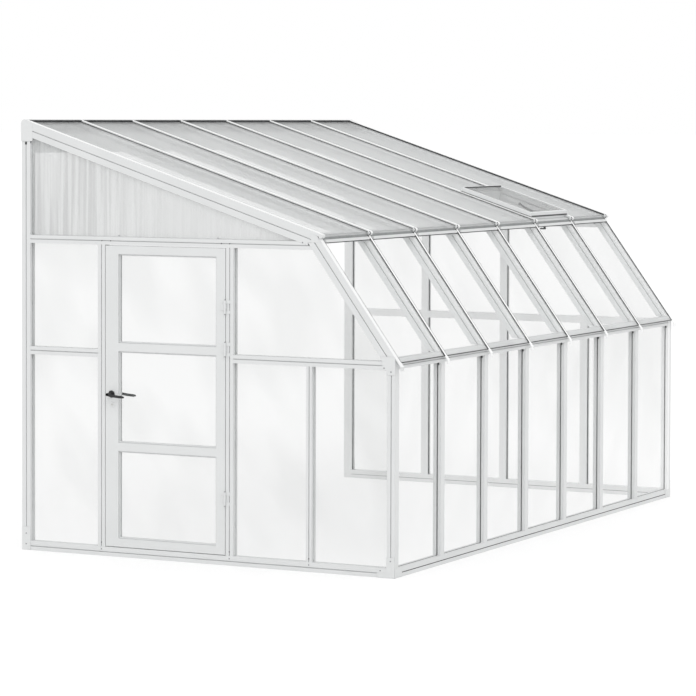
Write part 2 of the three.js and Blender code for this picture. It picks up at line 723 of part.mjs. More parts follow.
function addGableGlazing() {
  const { clear, twinWall } = materials;
  for (const [name, end] of Object.entries(gable)) {
    addPiece(`gable_panel_${name}`, gableSheet(end, [triangle()], []), twinWall);
  }
  const beforeDoor = [[barDepth, midPostSpan[0]], [midPostSpan[1], hingeJambBack]];
  addPiece('gable_glazing_near_front', gableSheet(gable.near,
    [...beforeDoor.map(([y0, y1]) => lowerPane(y0, y1)), slopedUpperPane(hingeJambBack)],
    [...lowerStrips(barDepth, hingeJambBack, beforeDoor),
      kneeStrip(hingeJambBack + seatGap, hingeJambBack + paneReach)]), clear);
  addPiece('gable_glazing_near_wall', gableSheet(gable.near,
    [lowerPane(latchJambBack, wallPostFace), upperPane(latchJambBack, wallPostFace)],
    [...lowerStrips(latchJambBack, wallPostFace, [[latchJambBack, wallPostFace]]),
      kneeStrip(wallPostFace + seatGap, wallPostFace + paneReach)]), clear);
  const edges = [barDepth];
  for (let i = 0; i < 3; i += 1) {
    const centre = farPostFirst + i * farPostPitch;
    edges.push(centre - half, centre + half);
  }
  edges.push(wallPostFace);
  const spans = [];
  for (let i = 0; i < edges.length; i += 2) spans.push([edges[i], edges[i + 1]]);
  const head = [gableEaveBottom + seatGap, gableEaveBottom + paneReach];
  addPiece('gable_glazing_far', gableSheet(gable.far,
    [...spans.map(([y0, y1]) => lowerPane(y0, y1)), slopedUpperPane(spans[1][1]),
      upperPane(...spans[2]), upperPane(...spans[3])],
    [...lowerStrips(barDepth, wallPostFace, spans),
      kneeStrip(wallPostFace + seatGap, wallPostFace + paneReach),
      [spans[1][1], spans[3][0], ...head]]), clear);
}

// Door: a leaf of two stiles and four rails, one sheet behind its three lights
const outerFace = gable.near.x - half;
const leafInner = outerFace + leafThickness;
const leafY = [hingeJambFace + doorGap, latchJambFace - doorGap];
const leafZ = [baseHeight + doorGap, gableEaveBottom - doorGap];
const lightY = [leafY[0] + hingeStileWidth, leafY[1] - latchStileWidth];
const handleY = leafY[1] - handleBackset;
const hingeAxis = { x: outerFace - hingeStandoff, y: hingeJambFace + doorGap / 2 };

function doorLights() {
  const rail = doorRailHeight / 2;
  const bottoms = [leafZ[0] + doorRailHeight, ...doorRailCentres.map((z) => z + rail)];
  const tops = [...doorRailCentres.map((z) => z - rail), leafZ[1] - doorRailHeight];
  return bottoms.map((z, i) => [z, tops[i]]);
}

function doorSheet(reach, thickness) {
  const middle = (outerFace + leafInner) / 2;
  const x0 = middle - thickness / 2;
  const x1 = middle + thickness / 2;
  const panes = doorLights().map(([z0, z1]) =>
    block(x0, x1, lightY[0] - reach, lightY[1] + reach, z0 - reach, z1 + reach));
  const joint = slotDepth - paneReach;
  panes.push(block(x0, x1, lightY[1] + joint, lightY[1] + reach,
    leafZ[0] + doorRailHeight, leafZ[1] - doorRailHeight));
  return joinAll(panes);
}

function addDoorLeaf() {
  const x = [outerFace, leafInner];
  const openings = doorLights().map(([z0, z1]) =>
    block(x[0] - cutOverrun, x[1] + cutOverrun, ...lightY, z0, z1));
  const spindleHole = discX(spindleRadius + seatGap, x[0] - cutOverrun, x[1] + cutOverrun,
    handleY, handleHeight);
  const leaf = cutAll(block(...x, ...leafY, ...leafZ), [...openings, spindleHole]);
  addPiece('door_leaf', leaf.subtract(doorSheet(slotDepth, slotWidth)), materials.resin);
  addPiece('door_glazing', doorSheet(paneReach, paneThickness), materials.clear);
}

// Half a hinge barrel is on the jamb, which also carries the pin, and half is on the leaf
function hingeJamb() {
  const parts = [gableUpright(gable.near, hingeJambBack, hingeJambFace, baseHeight, gableEaveBottom,
    ['front'])];
  const quarter = hingeLength / 4;
  for (const z of Object.values(hingeHeights)) {
    for (const [z0, z1] of [[z - hingeLength / 2, z - quarter], [z + quarter, z + hingeLength / 2]]) {
      parts.push(block(outerFace - hingePlateThickness, outerFace + grooveDepth,
        hingeJambFace - hingePlateWidth, hingeJambFace, z0, z1));
      parts.push(discZ(hingeRadius, hingeAxis.x, hingeAxis.y, z0, z1));
    }
    parts.push(discZ(hingePinRadius, hingeAxis.x, hingeAxis.y, z - quarter, z + quarter));
  }
  return joinAll(parts);
}

function addDoorHinges() {
  const quarter = hingeLength / 4;
  for (const [name, z] of Object.entries(hingeHeights)) {
    const z0 = z - quarter + seatGap;
    const z1 = z + quarter - seatGap;
    const barrel = discZ(hingeRadius, hingeAxis.x, hingeAxis.y, z0, z1);
    const plate = block(outerFace - seatGap - hingePlateThickness, outerFace - seatGap,
      hingeAxis.y + doorGap / 2, hingeAxis.y + doorGap / 2 + hingePlateWidth, z0, z1);
    const bore = discZ(hingePinRadius + seatGap, hingeAxis.x, hingeAxis.y, z0 - cutOverrun, z1 + cutOverrun);
    addPiece(`door_hinge_${name}`, barrel.add(plate).subtract(bore), materials.resin);
  }
}

function leverSide(face, out) {
  const span = (a, b) => [face + out * a, face + out * b].sort((low, high) => low - high);
  const lever = span(leverStandoff - leverThickness, leverStandoff);
  const root = new THREE.Vector2(handleY, handleHeight);
  const tip = new THREE.Vector2(handleY - leverLength, handleHeight - leverDroop);
  const across = new THREE.Vector2().subVectors(root, tip).normalize()
    .rotateAround(new THREE.Vector2(), Math.PI / 2).multiplyScalar(leverHeight / 2);
  const arm = [tip.clone().sub(across), root.clone().sub(across), root.clone().add(across),
    tip.clone().add(across)];
  return joinAll([
    discX(roseRadius, ...span(seatGap, roseThickness), root.x, root.y),
    discX(leverNeckRadius, ...span(seatGap, leverStandoff), root.x, root.y),
    profileX(arm, ...lever),
    discX(leverHeight / 2, ...lever, root.x, root.y),
    discX(leverHeight / 2, ...lever, tip.x, tip.y),
  ]);
}

function addDoorHandle() {
  const spindle = discX(spindleRadius, outerFace - seatGap * 2, leafInner + seatGap * 2,
    handleY, handleHeight);
  const levers = [leverSide(outerFace, -1), leverSide(leafInner, 1)];
  addPiece('door_handle', joinAll([spindle, ...levers]), materials.black);
}

// Roof vent: trimmer, sash and stay
const ventX = [ribX(ventBay), ribX(ventBay + 1)];
const sashUnder = coverHeight + seatGap;
const sashPaneTop = sashUnder + sashHeight - sashPaneDrop;
const stayX = (ventX[0] + ventX[1]) / 2 + stayOffset;

function addTrimmer() {
  const x0 = ventX[0] + half + seatGap;
  const x1 = ventX[1] - half - seatGap;
  const top = -roofPaneThickness - seatGap;
  const bar = slantBlock(roof, x0, x1, trimmerStart, trimmerStart + trimmerWidth, -ribDepth, top);
  const upstand = slantBlock(roof, x0, x1, trimmerStart, trimmerStart + trimmerUpstand,
    -ribDepth, coverHeight);
  addPiece('vent_trimmer', bar.add(upstand), materials.resin);
}

function addSash() {
  const x = [ventX[0] + sashSideGap, ventX[1] - sashSideGap];
  const inside = [x[0] + sashRim, x[1] - sashRim, sashStart + sashFootRim, sashEnd - sashRim];
  const paneUnder = sashPaneTop - sashPaneThickness;
  const frame = cutAll(slantBlock(roof, ...x, sashStart, sashEnd, sashUnder, sashUnder + sashHeight), [
    slantBlock(roof, ...inside, sashPaneTop, sashPaneTop + cutReach),
    slantBlock(roof, ...inside, -cutReach, paneUnder),
  ]);
  const pivot = roof.at(stayPivotPlace, stayPivotRise);
  const earX = [stayX + stayThickness / 2 + seatGap, stayX + stayThickness / 2 + seatGap + earThickness];
  const ear = slantBlock(roof, ...earX, stayPivotPlace - earWidth / 2, stayPivotPlace + earWidth / 2,
    stayPivotRise - earDrop, paneUnder + sashPaneThickness / 2);
  const bore = discX(stayPinRadius + seatGap, earX[0] - cutOverrun, earX[1] + cutOverrun, pivot.x, pivot.y);
  const skirt = slantBlock(roof, ventX[0] + half + seatGap, ventX[1] - half - seatGap,
    sashStart + skirtInset, sashStart + skirtInset + skirtThickness,
    -roofPaneThickness + seatGap, sashUnder + skirtThickness);
  addPiece('vent_sash', joinAll([frame, ear.subtract(bore), skirt]), materials.twinWall);
}

function stayArm(x0, x1) {
  const pivot = roof.at(stayPivotPlace, stayPivotRise);
  const path = [pivot, ...stayBends.map(({ along, rise }) => roof.at(along, rise))];
  const curve = new THREE.SplineCurve(path);
  const sides = [[], []];
  for (let i = 0; i <= staySamples; i += 1) {
    const point = curve.getPoint(i / staySamples);
    const tangent = curve.getTangent(i / staySamples);
    const across = new THREE.Vector2(-tangent.y, tangent.x).multiplyScalar(stayWidth / 2);
    sides[0].push(point.clone().add(across));
    sides[1].unshift(point.clone().sub(across));
  }
  return profileX([...sides[0], ...sides[1]], x0, x1);
}

function addStay() {
  const x0 = stayX - stayThickness / 2;
  const x1 = stayX + stayThickness / 2;
  const pivot = roof.at(stayPivotPlace, stayPivotRise);
  const elbow = roof.at(stayBends.at(-1).along, stayBends.at(-1).rise);
  const foot = elbow.y - stayLegDrop;
  const front = elbow.x - stayWidth / 2;
  const leg = block(x0, x1, front, front + stayWidth, foot, elbow.y);
  const grip = block(stayX - gripWidth / 2, stayX + gripWidth / 2, front, front + gripLength,
    foot - gripHeight / 2, foot + gripHeight / 2);
  const head = discX(stayHeadRadius, x0, x1, pivot.x, pivot.y);
  const bend = discX(stayWidth / 2, x0, x1, elbow.x, elbow.y);
  const pin = discX(stayPinRadius, x0, x1 + earThickness + seatGap * 2, pivot.x, pivot.y);
  addPiece('vent_stay', joinAll([stayArm(x0, x1), head, bend, leg, grip, pin]), materials.black);
}

addBase();
addFrontPosts();
addKneeRail();
addSlopeBars();
addEaveBeam();
addRidgeBeam();
addRafters();
addWallPosts();
addNearGableFrame();
addFarGableFrame();
addFrontGlazing();
addSlopeGlazing();
addRoofGlazing();
addGableGlazing();
addDoorLeaf();
addDoorHinges();
addDoorHandle();
addTrimmer();
addSash();
addStay();

// The part's own frame has its origin under the middle of everything, on the ground
const bounds = new THREE.Box3().setFromObject(greenhouse);
const centre = bounds.getCenter(new THREE.Vector3());
greenhouse.position.set(-centre.x, -centre.y, -bounds.min.z);

export default greenhouse;
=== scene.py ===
import math

import bmesh
import bpy
from mathutils import Matrix, Vector

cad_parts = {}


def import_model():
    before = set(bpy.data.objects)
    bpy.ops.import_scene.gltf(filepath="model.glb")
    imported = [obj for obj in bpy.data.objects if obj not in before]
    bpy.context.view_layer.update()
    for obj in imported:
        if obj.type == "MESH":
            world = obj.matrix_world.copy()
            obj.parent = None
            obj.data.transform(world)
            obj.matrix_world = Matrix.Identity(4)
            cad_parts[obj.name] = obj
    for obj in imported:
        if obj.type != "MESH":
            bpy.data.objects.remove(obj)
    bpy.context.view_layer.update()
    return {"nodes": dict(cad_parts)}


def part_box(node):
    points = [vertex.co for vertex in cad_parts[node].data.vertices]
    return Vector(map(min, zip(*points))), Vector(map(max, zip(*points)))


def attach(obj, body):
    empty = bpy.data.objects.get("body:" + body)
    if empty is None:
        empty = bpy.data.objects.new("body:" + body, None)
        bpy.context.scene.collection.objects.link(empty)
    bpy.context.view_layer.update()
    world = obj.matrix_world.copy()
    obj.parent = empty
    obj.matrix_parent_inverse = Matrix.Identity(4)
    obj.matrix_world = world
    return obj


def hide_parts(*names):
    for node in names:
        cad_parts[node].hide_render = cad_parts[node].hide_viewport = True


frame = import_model()

# Places are written with x = 0 at the near rib, y = 0 at the glazed front and z = 0 on the ground
MM = 0.001
HALF = 25 * MM
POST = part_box("front_post_0")
ORIGIN = Vector((POST[0][0] + HALF, POST[0][1], 0))
PITCH = 605 * MM
BAYS = 7
LENGTH = BAYS * PITCH
DEPTH = 2500 * MM
BASE = 56 * MM
BASE_GROOVE = 25 * MM
KNEE_UNDER = 1184 * MM
EAVE_FACE = 462 * MM
EAVE_UNDER = 1890 * MM
EAVE_BACK = EAVE_FACE + 78 * MM
GUTTER_FLOOR = 1906 * MM
GUTTER_WALL = EAVE_FACE + 28 * MM
WALL_POST = 2440 * MM
ROOF_END = 2474 * MM
RIDGE_TOP = 2586 * MM
RIDGE_UNDER = 2385 * MM
RAFTER_DEPTH = 78 * MM
SLOT_DEPTH = 9 * MM
PANEL_FOOT = 1896 * MM
VENT_BAY = 5
VENT_SHEET_START = 575.5 * MM
COVER = 14 * MM
COVER_RISE = 10 * MM
SLOPE_COVER = 4 * MM
NOSE_RADIUS = 13 * MM
NOSE_SETBACK = 18 * MM
WEB = 7.4 * MM
SHEET = 8 * MM
ROOF_START = 26 * MM
FACE_X = -HALF
FAR_X = LENGTH + HALF
GAP = 0.05 * MM


class Slant:
    """A slanted glazing plane: along runs up it and rise stands out of it."""

    def __init__(self, foot, head):
        self.foot = Vector(foot)
        run = Vector(head) - self.foot
        self.length = run.length
        self.along = run.normalized()
        self.out = Vector((-self.along.y, self.along.x))

    def at(self, along, rise):
        return self.foot + self.along * along + self.out * rise

    def point(self, x, along, rise):
        place = self.at(along, rise)
        return Vector((x, place.x, place.y))

    def height(self, y, rise):
        start = self.at(0, rise)
        return start.y + (y - start.x) * self.along.y / self.along.x

    def reach(self, z):
        """The y at which the plane has the height z."""
        return self.foot.x + (z - self.foot.y) * self.along.x / self.along.y


roof = Slant((EAVE_FACE, 1924 * MM), (WALL_POST, 2562 * MM))
slope = Slant((0, 1242 * MM), (473 * MM, EAVE_UNDER))
ROOF_REACH = (ROOF_END - EAVE_FACE) / roof.along.x
NOSE = roof.at(NOSE_SETBACK, COVER_RISE - NOSE_RADIUS)


# Materials: noise gives mostly levels from NOISE_LOW to NOISE_HIGH
NOISE_LOW, NOISE_HIGH = 0.3, 0.7


def new_material(name):
    material = bpy.data.materials.new(name)
    material.use_nodes = True
    tree = material.node_tree
    return material, tree, tree.nodes["Principled BSDF"]


def noise(tree, scale, detail=3.0, stretch=(1, 1, 1)):
    place = tree.nodes.new("ShaderNodeTexCoord")
    mapping = tree.nodes.new("ShaderNodeMapping")
    mapping.inputs["Scale"].default_value = stretch
    texture = tree.nodes.new("ShaderNodeTexNoise")
    texture.inputs["Scale"].default_value = scale
    texture.inputs["Detail"].default_value = detail
    tree.links.new(place.outputs["Object"], mapping.inputs["Vector"])
    tree.links.new(mapping.outputs["Vector"], texture.inputs["Vector"])
    return texture.outputs["Fac"]


def ramp(tree, source, stops):
    """A colour curve over the source; stops gives (place, colour) in order."""
    node = tree.nodes.new("ShaderNodeValToRGB")
    first, last = stops[0], stops[-1]
    node.color_ramp.elements[0].position = first[0]
    node.color_ramp.elements[0].color = (*first[1], 1)
    node.color_ramp.elements[1].position = last[0]
    node.color_ramp.elements[1].color = (*last[1], 1)
    for place, colour in stops[1:-1]:
        node.color_ramp.elements.new(place).color = (*colour, 1)
    tree.links.new(source, node.inputs["Fac"])
    return node.outputs["Color"]


def mottled(tree, source, low, high):
    """The colour low in the valleys of a noise and high on its tops."""
    return ramp(tree, source, [(NOISE_LOW, low), (NOISE_HIGH, high)])


def tone(tree, source, stops):
    """A grey curve over the source."""
    return ramp(tree, source, [(place, (level, level, level)) for place, level in stops])


def span(tree, source, low, high, from_low=0.0, from_high=1.0):
    """The source carried from from_low..from_high over to low..high, held at both ends."""
    node = tree.nodes.new("ShaderNodeMapRange")
    node.inputs["From Min"].default_value = from_low
    node.inputs["From Max"].default_value = from_high
    node.inputs["To Min"].default_value = low
    node.inputs["To Max"].default_value = high
    tree.links.new(source, node.inputs["Value"])
    return node.outputs["Result"]


def calc(tree, operation, *values):
    """A Math node; each value is a socket or a number."""
    node = tree.nodes.new("ShaderNodeMath")
    node.operation = operation
    for socket, value in zip(node.inputs, values):
        if isinstance(value, (int, float)):
            socket.default_value = value
        else:
            tree.links.new(value, socket)
    return node.outputs["Value"]


def blend(tree, factor, *colours):
    """The first colour where the factor is 0 and the second where it is 1."""
    mix = tree.nodes.new("ShaderNodeMix")
    mix.data_type = "RGBA"
    tree.links.new(factor, mix.inputs["Factor"])
    for socket, colour in zip(("A", "B"), colours):
        if isinstance(colour, tuple):
            mix.inputs[socket].default_value = (*colour, 1)
        else:
            tree.links.new(colour, mix.inputs[socket])
    return mix.outputs["Result"]


def position(tree):
    """The X, Y and Z of a point in the greenhouse's own frame."""
    place = tree.nodes.new("ShaderNodeTexCoord")
    axes = tree.nodes.new("ShaderNodeSeparateXYZ")
    tree.links.new(place.outputs["Object"], axes.inputs["Vector"])
    return [calc(tree, "SUBTRACT", axes.outputs[axis], ORIGIN[index])
            for index, axis in enumerate("XYZ")]


def bump(tree, shader, source, strength, distance, rounding=None):
    """A fine skin, and rounded edges where a rounding is given."""
    node = tree.nodes.new("ShaderNodeBump")
    node.inputs["Strength"].default_value = strength
    node.inputs["Distance"].default_value = distance
    tree.links.new(source, node.inputs["Height"])
    if rounding:
        edge = tree.nodes.new("ShaderNodeBevel")
        edge.samples = 4
        edge.inputs["Radius"].default_value = rounding
        tree.links.new(edge.outputs["Normal"], node.inputs["Normal"])
    tree.links.new(node.outputs["Normal"], shader.inputs["Normal"])


# Painted highlight: the cover strips that stand above a glazing plane are painted these brighter
# whites
COVER_HIGHLIGHT_WHITE = (0.85, 0.855, 0.855)
SLOPE_COVER_HIGHLIGHT_WHITE = (0.93, 0.935, 0.935)
# Painted light: pieces inside the sheets are painted this whiter white, in the band just under a
# glazing plane and on the inner side of the far gable
INNER_PAINTED_LIGHT_WHITE = (0.915, 0.92, 0.92)
PAINTED_LIGHT_DEPTHS = (-26 * MM, -12 * MM)
PAINTED_LIGHT_FAR_BAND = 8 * MM
COVER_EDGE = 0.1 * MM


def resin_material(name, low, high, plane=None, bright=0.2 * MM, white=COVER_HIGHLIGHT_WHITE, inner=False):
    """White resin: a faint streaky mottling and the fine skin of an extruded bar.

    Where a glazing plane is given, what stands above it, the cover strip, is painted a brighter
    white, a painted highlight.
    What lies inside the sheets is painted whiter as well, painted light that stands for the
    daylight coming through the sheets round it.
    """
    material, tree, shader = new_material(name)
    tint = mottled(tree, noise(tree, 3.0, 4.0), low, high)
    x, y, z = position(tree)
    if plane:
        across = calc(tree, "MULTIPLY_ADD", y, plane.out.x, -plane.foot.dot(plane.out))
        rise = calc(tree, "MULTIPLY_ADD", z, plane.out.y, across)
        # Painted light: the band just under the glazing plane is painted whiter
        if inner:
            tint = blend(tree, span(tree, rise, 1.0, 0.0, *PAINTED_LIGHT_DEPTHS), INNER_PAINTED_LIGHT_WHITE, tint)
        # Painted highlight: what stands above the glazing plane is painted brighter
        above = span(tree, rise, 0.0, 1.0, bright - COVER_EDGE, bright + COVER_EDGE)
        tint = blend(tree, above, tint, white)
    elif inner:
        # Painted light: the inner side of a far piece is painted whiter
        inside = span(tree, x, 1.0, 0.0, LENGTH - PAINTED_LIGHT_FAR_BAND, LENGTH + PAINTED_LIGHT_FAR_BAND)
        tint = blend(tree, inside, tint, INNER_PAINTED_LIGHT_WHITE)
    tree.links.new(tint, shader.inputs["Base Color"])
    rough = span(tree, noise(tree, 60.0), 0.34, 0.46)
    tree.links.new(rough, shader.inputs["Roughness"])
    shader.inputs["Specular IOR Level"].default_value = 0.4
    bump(tree, shader, noise(tree, 900.0, 2.0), 0.05, 0.2 * MM, rounding=1.2 * MM)
    return material


def reflection_streaks(tree):
    """Noise drawn out into long bands that lean by 28 degrees: painted reflection streaks."""
    lean, squash = math.radians(28), 0.06
    place = tree.nodes.new("ShaderNodeTexCoord")
    turned = tree.nodes.new("ShaderNodeMapping")
    turned.inputs["Rotation"].default_value = (lean, -lean, 0)
    streaks = tree.nodes.new("ShaderNodeTexNoise")
    streaks.inputs["Scale"].default_value = 3.2
    streaks.inputs["Detail"].default_value = 1.0
    squeeze = tree.nodes.new("ShaderNodeMapping")
    squeeze.inputs["Scale"].default_value = (1, 1, squash)
    tree.links.new(place.outputs["Object"], turned.inputs["Vector"])
    tree.links.new(turned.outputs["Vector"], squeeze.inputs["Vector"])
    tree.links.new(squeeze.outputs["Vector"], streaks.inputs["Vector"])
    return span(tree, streaks.outputs["Fac"], 0.80, 1.2, 0.42, 0.62)


def clear_material(name, curve):
    """Clear sheet: nearly see-through, with faint slanting streaks painted into its veil as painted
    reflections.

    The curve gives its veil by half the height in metres.
    """
    material, tree, shader = new_material(name)
    tint = mottled(tree, noise(tree, 1.4, 2.0), (0.32, 0.34, 0.335), (0.37, 0.39, 0.38))
    tree.links.new(tint, shader.inputs["Base Color"])
    veil = tone(tree, calc(tree, "MULTIPLY", position(tree)[2], 0.5), curve)
    # Painted reflections: the veil is thickened and thinned along the slanting streaks
    tree.links.new(calc(tree, "MULTIPLY", veil, reflection_streaks(tree)), shader.inputs["Alpha"])
    tree.links.new(span(tree, noise(tree, 40.0), 0.04, 0.12), shader.inputs["Roughness"])
    return material


def finish_sheet(tree, shader, level, alpha):
    """Turns a level from 0 to 1 into the faintly cool grey of the sheet, and adds its skin."""
    cool_white, unevenness = (0.985, 1.0, 1.0), 0.02
    tint = ramp(tree, level, [(0.0, (0.0, 0.0, 0.0)), (1.0, cool_white)])
    tree.links.new(tint, shader.inputs["Base Color"])
    cover = span(tree, noise(tree, 1.6, 2.0), alpha - unevenness, alpha + unevenness,
                 NOISE_LOW, NOISE_HIGH)
    tree.links.new(cover, shader.inputs["Alpha"])
    shader.inputs["Roughness"].default_value = 0.28
    bump(tree, shader, noise(tree, 260.0, 2.0), 0.05, 0.3 * MM)


# Both skins of a twin-wall sheet have a shallow line over every inner web
FLUTE = 11 * MM
LINE = 1.2 * MM
LINE_DEPTH = 0.35 * MM


def webs(tree, place):
    """Fine lines over the inner webs, 1 between them."""
    beat = calc(tree, "PINGPONG", place, FLUTE / 2)
    return span(tree, beat, 0.97, 1.0, 0.0, 1.6 * MM)


def mottle(tree, low, high):
    return span(tree, noise(tree, 1.1, 2.0), low, high, NOISE_LOW, NOISE_HIGH)


def roof_sheet_material():
    """Twin-wall roof sheet with painted shade and light: within a bay it is painted darker over the
    lower edge of the next rafter's body and lighter over its flank, and at its upper end, over the
    ridge beam, it is painted darker."""
    material, tree, shader = new_material("roof_twin_wall")
    x, y = position(tree)[:2]
    place = calc(tree, "FRACT", calc(tree, "DIVIDE", x, PITCH))
    # Painted shade and light across each bay: darker over the next rafter's lower edge, lighter
    # over its flank
    bay = tone(tree, place, [(0.02, 0.70), (0.24, 0.68), (0.34, 0.695), (0.62, 0.69), (0.70, 0.61),
                             (0.77, 0.61), (0.86, 0.79), (0.97, 0.80)])
    up = span(tree, y, 0.0, 1.0, EAVE_FACE, ROOF_END)
    # Painted shade: darker towards the ridge beam at the sheet's upper end
    height = tone(tree, up, [(0.0, 1.0), (0.88, 1.0), (0.925, 0.82), (0.975, 0.78), (0.995, 0.62)])
    level = calc(tree, "MULTIPLY", calc(tree, "MULTIPLY", bay, height),
                 calc(tree, "MULTIPLY", mottle(tree, 0.97, 1.03), webs(tree, x)))
    finish_sheet(tree, shader, level, 0.44)
    return material


def gable_sheet_material():
    """Twin-wall gable sheet: uneven darker upright flutes, stronger near the wall, and a zone in
    front of the ridge beam painted lighter, painted light over the beam's shade seen through the
    sheet."""
    material, tree, shader = new_material("gable_twin_wall")
    y, z = position(tree)[1:]
    depth = span(tree, y, 0.04, 0.24, 1.5, 2.1)
    flutes = span(tree, noise(tree, 42.0, 2.0, (0.02, 1, 0.02)), 1.0, 0.0, 0.38, 0.56)
    flutes = calc(tree, "SUBTRACT", 1.0, calc(tree, "MULTIPLY", flutes, depth))
    # Painted light: above the ridge beam's underside the sheet is painted lighter
    height = span(tree, z, 1.0, 1.10, RIDGE_UNDER - 4 * MM, RIDGE_UNDER)
    level = calc(tree, "MULTIPLY", calc(tree, "MULTIPLY", flutes, height),
                 calc(tree, "MULTIPLY", mottle(tree, 0.98, 1.02), webs(tree, y)))
    finish_sheet(tree, shader, calc(tree, "MULTIPLY", level, 0.70), 0.50)
    return material


def sash_sheet_material():
    material, tree, shader = new_material("sash_twin_wall")
    x = position(tree)[0]
    level = calc(tree, "MULTIPLY", mottle(tree, 0.41, 0.45), webs(tree, x))
    finish_sheet(tree, shader, level, 0.27)
    return material


def dark_material(name, low, high, rough=(0.35, 0.5)):
    material, tree, shader = new_material(name)
    tree.links.new(mottled(tree, noise(tree, 25.0), low, high), shader.inputs["Base Color"])
    tree.links.new(span(tree, noise(tree, 120.0), *rough), shader.inputs["Roughness"])
    bump(tree, shader, noise(tree, 700.0, 2.0), 0.12, 0.2 * MM)
    return material


def metal_material(name, low, high, grain, skin, rough, metallic):
    """Metal with its tint mottled at the grain's scale and its roughness at the skin's."""
    material, tree, shader = new_material(name)
    tree.links.new(mottled(tree, noise(tree, grain), low, high), shader.inputs["Base Color"])
    tree.links.new(span(tree, noise(tree, skin), *rough), shader.inputs["Roughness"])
    shader.inputs["Metallic"].default_value = metallic
    return material


RESIN_TINTS = ((0.69, 0.70, 0.70), (0.72, 0.73, 0.73))
# Painted light: the slope bars' bodies behind the glass are painted these lighter tints
GLAZED_PAINTED_LIGHT_TINTS = ((0.83, 0.84, 0.84), (0.86, 0.87, 0.87))
RUBBER_ROUGH = (0.5, 0.65)
RESIN = resin_material("white_resin", *RESIN_TINTS)
# Rafters and slope bars: their cover strips above the glazing get the painted highlight
RAFTER_RESIN = resin_material("rafter_resin", *RESIN_TINTS, plane=roof)
GABLE_RAFTER_RESIN = resin_material("gable_rafter_resin", *RESIN_TINTS, plane=roof, bright=9 * MM)
GABLE_SLOPE_RESIN = resin_material("gable_slope_resin", *RESIN_TINTS, plane=slope, bright=3.4 * MM)
SLOPE_RESIN = resin_material("slope_bar_resin", *GLAZED_PAINTED_LIGHT_TINTS, plane=slope,
                             white=SLOPE_COVER_HIGHLIGHT_WHITE, inner=True)
INNER_PAINTED_LIGHT_RESIN = resin_material("inner_resin_painted_light", *RESIN_TINTS, inner=True)
CLEAR = clear_material("clear_sheet", [(0.03, 0.020), (0.15, 0.036), (0.3, 0.052), (0.55, 0.070),
                                       (0.66, 0.062)])
GABLE_CLEAR = clear_material("gable_clear_sheet", [(0.03, 0.050), (0.15, 0.080), (0.3, 0.110),
                                                   (0.65, 0.122)])
ROOF_SHEET = roof_sheet_material()
GABLE_SHEET = gable_sheet_material()
SASH_SHEET = sash_sheet_material()
GASKET = dark_material("gasket_rubber", (0.030, 0.031, 0.033), (0.055, 0.056, 0.058), RUBBER_ROUGH)
LINER = dark_material("grey_liner", (0.24, 0.25, 0.25), (0.30, 0.31, 0.31), RUBBER_ROUGH)
BLACK = dark_material("black_plastic", (0.008, 0.008, 0.009), (0.016, 0.016, 0.017))
STEEL = metal_material("screw_steel", (0.16, 0.16, 0.17), (0.24, 0.24, 0.25),
                       grain=200.0, skin=500.0, rough=(0.3, 0.45), metallic=0.9)
LIGHT_STEEL = metal_material("cylinder_steel", (0.60, 0.60, 0.59), (0.70, 0.70, 0.69),
                             grain=90.0, skin=300.0, rough=(0.28, 0.4), metallic=0.8)

CLEAR_NODES = ("front_glazing", "slope_glazing", "gable_glazing_near_front",
               "gable_glazing_near_wall", "gable_glazing_far", "door_glazing")


def node_material(name):
    if name in CLEAR_NODES:
        return GABLE_CLEAR if "near" in name or name == "door_glazing" else CLEAR
    if name == "vent_stay":
        return BLACK
    if name.startswith("rafter"):
        return GABLE_RAFTER_RESIN if name == "rafter_0" else RAFTER_RESIN
    if name.startswith("slope_bar"):
        return GABLE_SLOPE_RESIN if name == "slope_bar_0" else SLOPE_RESIN
    # Painted light: the far pieces and the last front post get the whiter inner resin
    return INNER_PAINTED_LIGHT_RESIN if "far" in name or name == f"front_post_{BAYS}" else RESIN


for node_name, node in frame["nodes"].items():
    node.data.materials.clear()
    node.data.materials.append(node_material(node_name))


# Mesh helpers
def make(name, vertices, faces, material, body="frame", slot="resin", bevel=0.0, smooth=40):
    """A piece of the given body; edges sharper than smooth degrees stay sharp."""
    mesh = bpy.data.meshes.new(name)
    mesh.from_pydata([tuple(Vector(v) + ORIGIN) for v in vertices], [], faces)
    work = bmesh.new()
    work.from_mesh(mesh)
    bmesh.ops.remove_doubles(work, verts=work.verts, dist=1e-6)
    bmesh.ops.recalc_face_normals(work, faces=work.faces)
    if bevel:
        edges = [e for e in work.edges if len(e.link_faces) == 2 and e.calc_face_angle(0) > 0.6]
        bmesh.ops.bevel(work, geom=edges, offset=bevel, segments=2, affect="EDGES",
                        clamp_overlap=True)
    work.to_mesh(mesh)
    work.free()
    mesh.materials.append(material)
    mesh.polygons.foreach_set("use_smooth", [True] * len(mesh.polygons))
    mesh.set_sharp_from_angle(angle=math.radians(smooth))
    piece = bpy.data.objects.new(name, mesh)
    bpy.context.collection.objects.link(piece)
    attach(piece, body)
    return piece


def prism(outline, place, start, end):
    """Vertices and faces of an outline carried from start to end; place(u, v, w) gives a point."""
    count = len(outline)
    vertices = [place(u, v, start) for u, v in outline] + [place(u, v, end) for u, v in outline]
    faces = [tuple(range(count))[::-1], tuple(range(count, 2 * count))]
    for i in range(count):
        j = (i + 1) % count
        faces.append((i, j, count + j, count + i))
    return vertices, faces


def merge(parts):
    vertices, faces = [], []
    for part_vertices, part_faces in parts:
        base = len(vertices)
        vertices.extend(part_vertices)
        faces.extend(tuple(base + i for i in face) for face in part_faces)
    return vertices, faces


def on_x(u, v, w):
    return Vector((w, u, v))


def on_y(u, v, w):
    return Vector((u, w, v))


def on_z(u, v, w):
    return Vector((u, v, w))


def on_slant(slant):
    return lambda u, v, w: slant.point(u, w, v)


